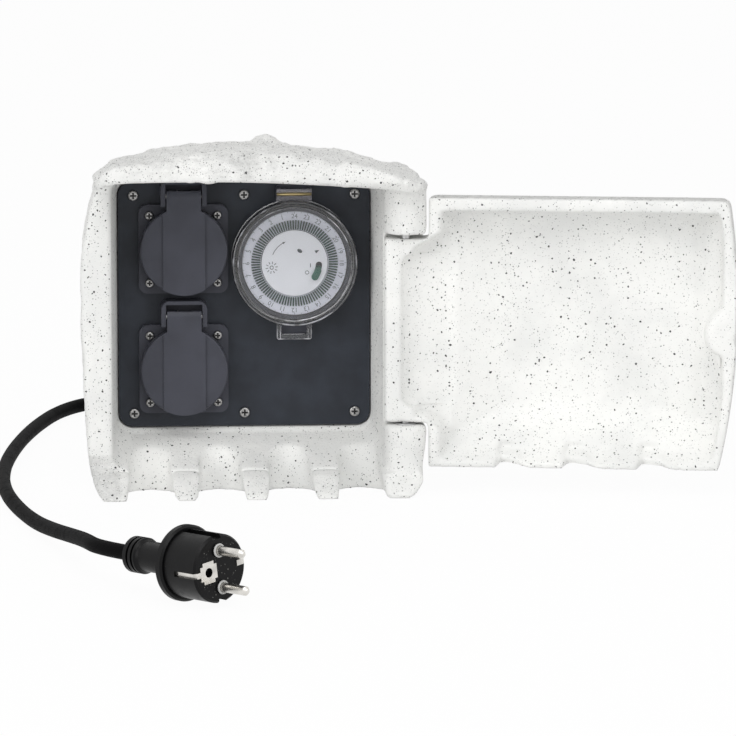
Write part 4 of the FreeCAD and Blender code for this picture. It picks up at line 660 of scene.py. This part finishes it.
# A thin raised plate for each flat outline of (right, up) points about the dial's middle
def printMarks(name, outlines, look, body, y):
    points, faces = [], []
    for outline in outlines:
        n, start = len(outline), len(points)
        x, z = dial["x"] + outline[:, 0], dial["z"] + outline[:, 1]
        for depth in (y - dial["film"], y + dial["film"] / 2):
            points += np.stack((x, np.full(n, depth), z), 1).tolist()
        faces.append(list(range(start, start + n)))
        faces.append(list(range(start + 2 * n - 1, start + n - 1, -1)))
        for i in range(n):
            after = (i + 1) % n
            faces.append([start + i, start + n + i, start + n + after, start + after])
    made = addPiece(name, points, faces, look, smooth=False)
    fixNormals(made)
    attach(made, body)


# A band of even width along a circle about the dial's middle, angles in degrees from the right
def bandOutline(radius, width, start, stop, count):
    a = np.radians(np.linspace(start, stop, count))
    out = np.stack((np.cos(a), np.sin(a)), 1)
    return np.concatenate((out * (radius - width / 2), out[::-1] * (radius + width / 2)))


# A bar from one point to another, wider or narrower at its far end
def barOutline(start, end, width, endWidth=None):
    start, end = np.array(start), np.array(end)
    along = (end - start) / np.linalg.norm(end - start)
    across = np.array((-along[1], along[0])) / 2
    far = (width if endWidth is None else endWidth) * across
    return np.array((start - width * across, end - far, end + far, start + width * across))


# The point at this distance and angle from the right
def turnedPoint(radius, degrees):
    a = math.radians(degrees)
    return np.array((radius * math.cos(a), radius * math.sin(a)))


marks = {
    "arrowRadius": 0.0131, "arrowFrom": 158.0, "arrowTo": 120.0, "line": 0.00034, "head": 0.0017,
    "headShare": 0.7, "headTurn": 7.5, "point": 0.00005, "sun": (-0.0128, -0.0024),
    "sunRadius": 0.00095, "rays": 10, "rayIn": 0.0021, "rayOut": 0.0034, "rayWidth": 0.00036,
    "oval": (0.0029, 0.0069), "ovalSize": (0.0015, 0.0010), "ovalTurn": -32.0,
    "pointerRadius": 0.0144, "pointerTurn": 28.0, "pointerLong": 0.0024, "pointerWide": 0.0018,
    "onMark": (0.0089, -0.0013), "offMark": (0.0070, -0.0053), "letter": 0.0021,
    "stroke": 0.0004, "ringStroke": 0.0003,
}


# What the centre plate carries: a curved arrow, a sun, a pointer, and the on and off marks by the slide
def printPlate():
    m = marks
    shapes = [bandOutline(m["arrowRadius"], m["line"], m["arrowFrom"], m["arrowTo"], 24)]
    tip = turnedPoint(m["arrowRadius"], m["arrowTo"] - m["headTurn"])
    foot = turnedPoint(m["arrowRadius"], m["arrowTo"])
    shapes.append(barOutline(foot, tip, m["head"] * m["headShare"], m["point"]))
    sun = np.array(m["sun"])
    for i in range(m["rays"]):
        turn = 360 * i / m["rays"] + 9
        shapes.append(barOutline(
            sun + turnedPoint(m["rayIn"], turn), sun + turnedPoint(m["rayOut"], turn), m["rayWidth"]))
    shapes.append(sun + bandOutline(m["sunRadius"], m["rayWidth"], 0, 345, 24))
    a = np.linspace(0, 2 * math.pi, 25)[:-1]
    turn = math.radians(m["ovalTurn"])
    u, v = m["ovalSize"][0] * np.cos(a), m["ovalSize"][1] * np.sin(a)
    shapes.append(np.stack((
        m["oval"][0] + u * math.cos(turn) - v * math.sin(turn),
        m["oval"][1] + u * math.sin(turn) + v * math.cos(turn)), 1))
    base = turnedPoint(m["pointerRadius"] - m["pointerLong"] / 2, m["pointerTurn"])
    far = turnedPoint(m["pointerRadius"] + m["pointerLong"] / 2, m["pointerTurn"])
    shapes.append(barOutline(base, far, m["pointerWide"], m["point"]))
    up = np.array((0.0, m["letter"] / 2))
    shapes.append(barOutline(np.array(m["onMark"]) - up, np.array(m["onMark"]) + up, m["stroke"]))
    shapes.append(np.array(m["offMark"]) + bandOutline(m["letter"] / 2.2, m["ringStroke"], 0, 357, 30))
    printMarks("plateMarks", shapes, ink, "box", dial["plateFace"])


# A tick for each hour at the dial's rim, and a shorter one for each half hour
def printTicks():
    shapes = []
    step = 360 / dial["ticks"]
    for i in range(dial["ticks"]):
        long = dial["hourTick"] if i % 2 == 0 else dial["halfTick"]
        far = dial["tickRadius"]
        shapes.append(barOutline(
            turnedPoint(far - long, step * i), turnedPoint(far, step * i), dial["tickWidth"]))
    printMarks("hourTicks", shapes, paleInk, "dial", dial["face"])


# Turns every face of a closed piece outwards
def fixNormals(piece):
    work = bmesh.new()
    work.from_mesh(piece.data)
    bmesh.ops.recalc_face_normals(work, faces=work.faces)
    work.to_mesh(piece.data)
    work.free()


# The hours 1 to 24 round the dial, their feet towards its middle, counted anticlockwise from the top
def writeNumbers():
    points, faces = [], []
    graph = bpy.context.evaluated_depsgraph_get()
    for hour in range(1, 25):
        text = bpy.data.curves.new("hour", "FONT")
        text.body = str(hour)
        text.size = dial["numberHeight"] * dial["textScale"]
        text.extrude = dial["film"] / 2
        text.resolution_u = 3
        text.align_x = "CENTER"
        text.align_y = "CENTER"
        stand = bpy.data.objects.new("hour", text)
        bpy.context.scene.collection.objects.link(stand)
        graph.update()
        flat = bpy.data.meshes.new_from_object(stand.evaluated_get(graph))
        co = np.empty(len(flat.vertices) * 3)
        flat.vertices.foreach_get("co", co)
        co = co.reshape(-1, 3)
        angle = -hour * math.pi / 12
        placed = onDial(co[:, 0], co[:, 1] + dial["numberRadius"], angle, 0.0)
        placed[:, 1] = dial["face"] - dial["film"] / 2 - co[:, 2]
        faces += [[len(points) + v for v in p.vertices] for p in flat.polygons]
        points += placed.tolist()
        bpy.data.objects.remove(stand)
        bpy.data.meshes.remove(flat)
    made = addPiece("hourNumbers", points, faces, paleInk, smooth=False)
    fixNormals(made)
    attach(made, "dial")


writeNumbers()
printPlate()
printTicks()
print("dial marks ready")


# A round bead along a closed or open path: circles of points square to the path's direction at each point
def addBead(name, paths, radius, look, body, sides=8):
    points, faces = [], []
    for path, closed in paths:
        path = np.asarray(path, float)
        n = len(path)
        if closed:
            along = np.roll(path, -1, 0) - np.roll(path, 1, 0)
        else:
            along = np.gradient(path, axis=0)
        along /= np.linalg.norm(along, axis=1)[:, None]
        level = np.abs(along[:, 1]).max() < 0.9
        ahead = np.array((0.0, 1.0, 0.0) if level else (0.0, 0.0, 1.0))
        across = np.cross(along, ahead)
        across /= np.linalg.norm(across, axis=1)[:, None]
        upward = np.cross(across, along)
        a = np.arange(sides) * 2 * math.pi / sides
        ring = across[:, None] * np.cos(a)[:, None] + upward[:, None] * np.sin(a)[:, None]
        start = len(points)
        points += (path[:, None] + radius * ring).reshape(-1, 3).tolist()
        rows = n if closed else n - 1
        i, j = np.meshgrid(np.arange(rows), np.arange(sides), indexing="ij")
        k, m = (i + 1) % n, (j + 1) % sides
        quads = np.stack((i * sides + j, k * sides + j, k * sides + m, i * sides + m), -1).reshape(-1, 4)
        faces += (quads + start).tolist()
        if not closed:
            faces.append(list(range(start + sides - 1, start - 1, -1)))
            faces.append(list(range(start + (n - 1) * sides, start + n * sides)))
    made = addPiece(name, points, faces, look)
    fixNormals(made)
    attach(made, body)
    return made


cover = {
    "rims": ((0.0344, -0.0065, 0.00040), (0.0318, -0.0070, 0.00024)), "rimPoints": 144,
    "latchFace": 0.0013, "latchBead": 0.00020, "latchHalf": 0.0096, "latchInner": 0.0078,
    "latchTop": -0.0358, "latchLow": -0.0435, "latchCorner": 0.0006,
    "tabHalf": 0.0099, "tabLow": 0.0345, "tabHigh": 0.0415,
    "tabFace": -0.0002, "tabThick": 0.0003, "tabBack": 0.0001, "tabColumns": 13, "tabRows": 9,
    "pinUp": 0.0385, "gleam": 0.0009, "gleamOut": 0.0004,
}


# Painted highlights on the clear cover: bright and dark beads along its two rims and the frame of its
# latch
def addCoverEdges():
    a = np.linspace(0, 2 * math.pi, cover["rimPoints"] + 1)[:-1]
    for i, (radius, y, bead) in enumerate(cover["rims"]):
        across, up = dial["x"] + radius * np.cos(a), dial["z"] + radius * np.sin(a)
        circle = np.stack((across, np.full(a.shape, y), up), 1)
        addBead("coverRimHighlight%d" % i, [(circle, True)], bead, paintedHighlightEdge, "cover")
    half, inner, top, low, corner = (
        cover[k] for k in ("latchHalf", "latchInner", "latchTop", "latchLow", "latchCorner"))
    outline = (
        (-half, top), (-half, low + corner), (-half + corner, low), (half - corner, low),
        (half, low + corner), (half, top),
    )
    frames = []
    for line in (outline, ((-inner, top), (-inner, low)), ((inner, top), (inner, low))):
        edge = np.array([(dial["x"] + u, cover["latchFace"], dial["z"] + v) for u, v in line])
        frames.append((edge, False))
    addBead("latchHighlights", frames, cover["latchBead"], paintedHighlightEdge, "cover")


# The cloudy tab over the hinge pin: a grid whose front bulges by 1 minus the fourth power of its height,
# a flat grid behind it, and a wall round their edges
def addHingeTab():
    # The brass pin shows through it as one long gleam
    y, height = cover["tabFace"] - cover["gleamOut"], dial["z"] + cover["pinUp"]
    ends = np.array([(dial["x"] + cover["tabHalf"] * side, y, height) for side in (-0.97, 0.0, 0.97)])
    addBead("hingeGleam", [(ends, False)], cover["gleam"], looks["brass"], "cover")
    n, m = cover["tabColumns"], cover["tabRows"]
    u, v = np.meshgrid(np.linspace(-1, 1, n), np.linspace(-1, 1, m), indexing="ij")
    x = dial["x"] + cover["tabHalf"] * u
    z = dial["z"] + (cover["tabLow"] + cover["tabHigh"]) / 2 + (cover["tabHigh"] - cover["tabLow"]) / 2 * v
    bulge = cover["tabThick"] * (1 - v ** 4)
    near = np.stack((x, cover["tabFace"] - bulge, z), -1).reshape(-1, 3)
    far = np.stack((x, np.full(x.shape, cover["tabFace"] + cover["tabBack"]), z), -1).reshape(-1, 3)
    grid = np.arange(n * m).reshape(n, m)
    quads = np.stack((grid[:-1, :-1], grid[1:, :-1], grid[1:, 1:], grid[:-1, 1:]), -1).reshape(-1, 4)
    rim = np.concatenate((grid[0], grid[1:, -1], grid[-1, -2::-1], grid[-2:0:-1, 0]))
    after = np.roll(rim, -1)
    walls = np.stack((rim, after, after + n * m, rim + n * m), 1)
    faces = np.concatenate((quads, quads[:, ::-1] + n * m, walls))
    made = addPiece("hingeTab", np.concatenate((near, far)), faces, cloudy)
    fixNormals(made)
    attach(made, "cover")


addCoverEdges()
addHingeTab()
print("cover edges ready")


plug = {
    "rear": lead["toPlug"][-1], "way": (0.65, -0.76, 0.02), "roll": 7.0, "pinOut": 0.0095,
    "nose": 0.0635, "collarRadius": 0.0030, "collarBead": 0.0006,
}


# A pale ring round the foot of each plug pin, at the plug's nose
def addPinCollars():
    way = np.array(plug["way"]) / np.linalg.norm(plug["way"])
    level = np.cross((0.0, 0.0, 1.0), way)
    level /= np.linalg.norm(level)
    upright = np.cross(way, level)
    roll = math.radians(plug["roll"])
    across = level * math.cos(roll) + upright * math.sin(roll)
    above = upright * math.cos(roll) - level * math.sin(roll)
    a = np.linspace(0, 2 * math.pi, 33)[:-1, None]
    rings = []
    for side in (-1, 1):
        middle = np.array(plug["rear"]) + way * plug["nose"] + above * side * plug["pinOut"]
        rings.append((middle + plug["collarRadius"] * (across * np.cos(a) + above * np.sin(a)), True))
    return addBead("pinCollars", rings, plug["collarBead"], pinCollar, "box")


addLead()
print("lead ready")


# Studio: a pale floor under the whole view, a broad light from the left, a soft fill and one from above
studio = {
    "floor": 4.0, "below": 0.00002, "lines": 9, "keyPower": 25.0, "keyPlace": (-2.05, -1.80, 0.85),
    "keySize": 1.6, "fillPower": 9.0, "fillPlace": (1.7, -1.9, 0.6), "fillSize": 1.6,
    "topPower": 21.0, "topPlace": (0.1, -1.7, 2.1), "topSize": 1.6, "aim": (0.06, -0.03, 0.09),
    "sky": 0.54, "glow": 0.955,
}


# A square lamp of this size and power, turned towards the object
def addLamp(name, place, size, power):
    lamp = bpy.data.lights.new(name, "AREA")
    lamp.energy = power
    lamp.size = size
    made = bpy.data.objects.new(name, lamp)
    made.location = place
    ahead = Vector(studio["aim"]) - Vector(place)
    made.rotation_euler = ahead.to_track_quat("-Z", "Y").to_euler()
    bpy.context.scene.collection.objects.link(made)


# Floor and sky are white to the camera, to gloss and through glass; the floor keeps a faint shadow
def addStudio():
    reach = studio["floor"]
    # A flat grid just under the object
    n = studio["lines"]
    side = np.linspace(-reach, reach, n)
    gridX, gridY = np.meshgrid(side, side)
    points = np.stack((gridX.ravel(), gridY.ravel(), np.full(n * n, -studio["below"])), 1)
    corner = np.add.outer(np.arange(n - 1) * n, np.arange(n - 1)).ravel()
    faces = np.stack((corner, corner + 1, corner + n + 1, corner + n), 1)
    look, shader, where = startMaterial("paleFloor", Roughness=0.7, Specular_IOR_Level=0.1)
    tone = where.noise(0.8, 2.0)
    feed(shader, Base_Color=where.blend(tone, (0.90, 0.90, 0.90), (0.93, 0.93, 0.93)))
    tree = look.node_tree
    rays = where.make("LightPath")
    seen = rays
    for name in ("Is Glossy Ray", "Is Transmission Ray"):
        seen = seen.most(Wire(tree, rays.socket.node.outputs[name]))
    white = where.make("Emission", {"Color": (1, 1, 1, 1), "Strength": 1.0})
    surface = Wire(tree, shader.outputs[0])
    mixed = where.make("MixShader", {0: seen * studio["glow"], 1: surface, 2: white})
    tree.links.new(mixed.socket, tree.nodes["Material Output"].inputs["Surface"])
    floor = addPiece("floor", points, faces, look, smooth=False)

    sky = bpy.data.worlds.new("studioSky")
    sky.use_nodes = True
    bpy.context.scene.world = sky
    tree = sky.node_tree
    background = tree.nodes["Background"]
    background.inputs["Color"].default_value = (1, 1, 1, 1)
    rays = tree.nodes.new("ShaderNodeLightPath").outputs
    seen = Wire(tree, rays["Is Camera Ray"])
    for name in ("Is Glossy Ray", "Is Transmission Ray"):
        seen = seen.most(Wire(tree, rays[name]))
    tree.links.new((seen * (1 - studio["sky"]) + studio["sky"]).socket, background.inputs["Strength"])
    addLamp("keyLamp", studio["keyPlace"], studio["keySize"], studio["keyPower"])
    addLamp("fillLamp", studio["fillPlace"], studio["fillSize"], studio["fillPower"])
    addLamp("topLamp", studio["topPlace"], studio["topSize"], studio["topPower"])


addStudio()
bpy.context.scene.view_settings.view_transform = "Standard"
print("studio ready")
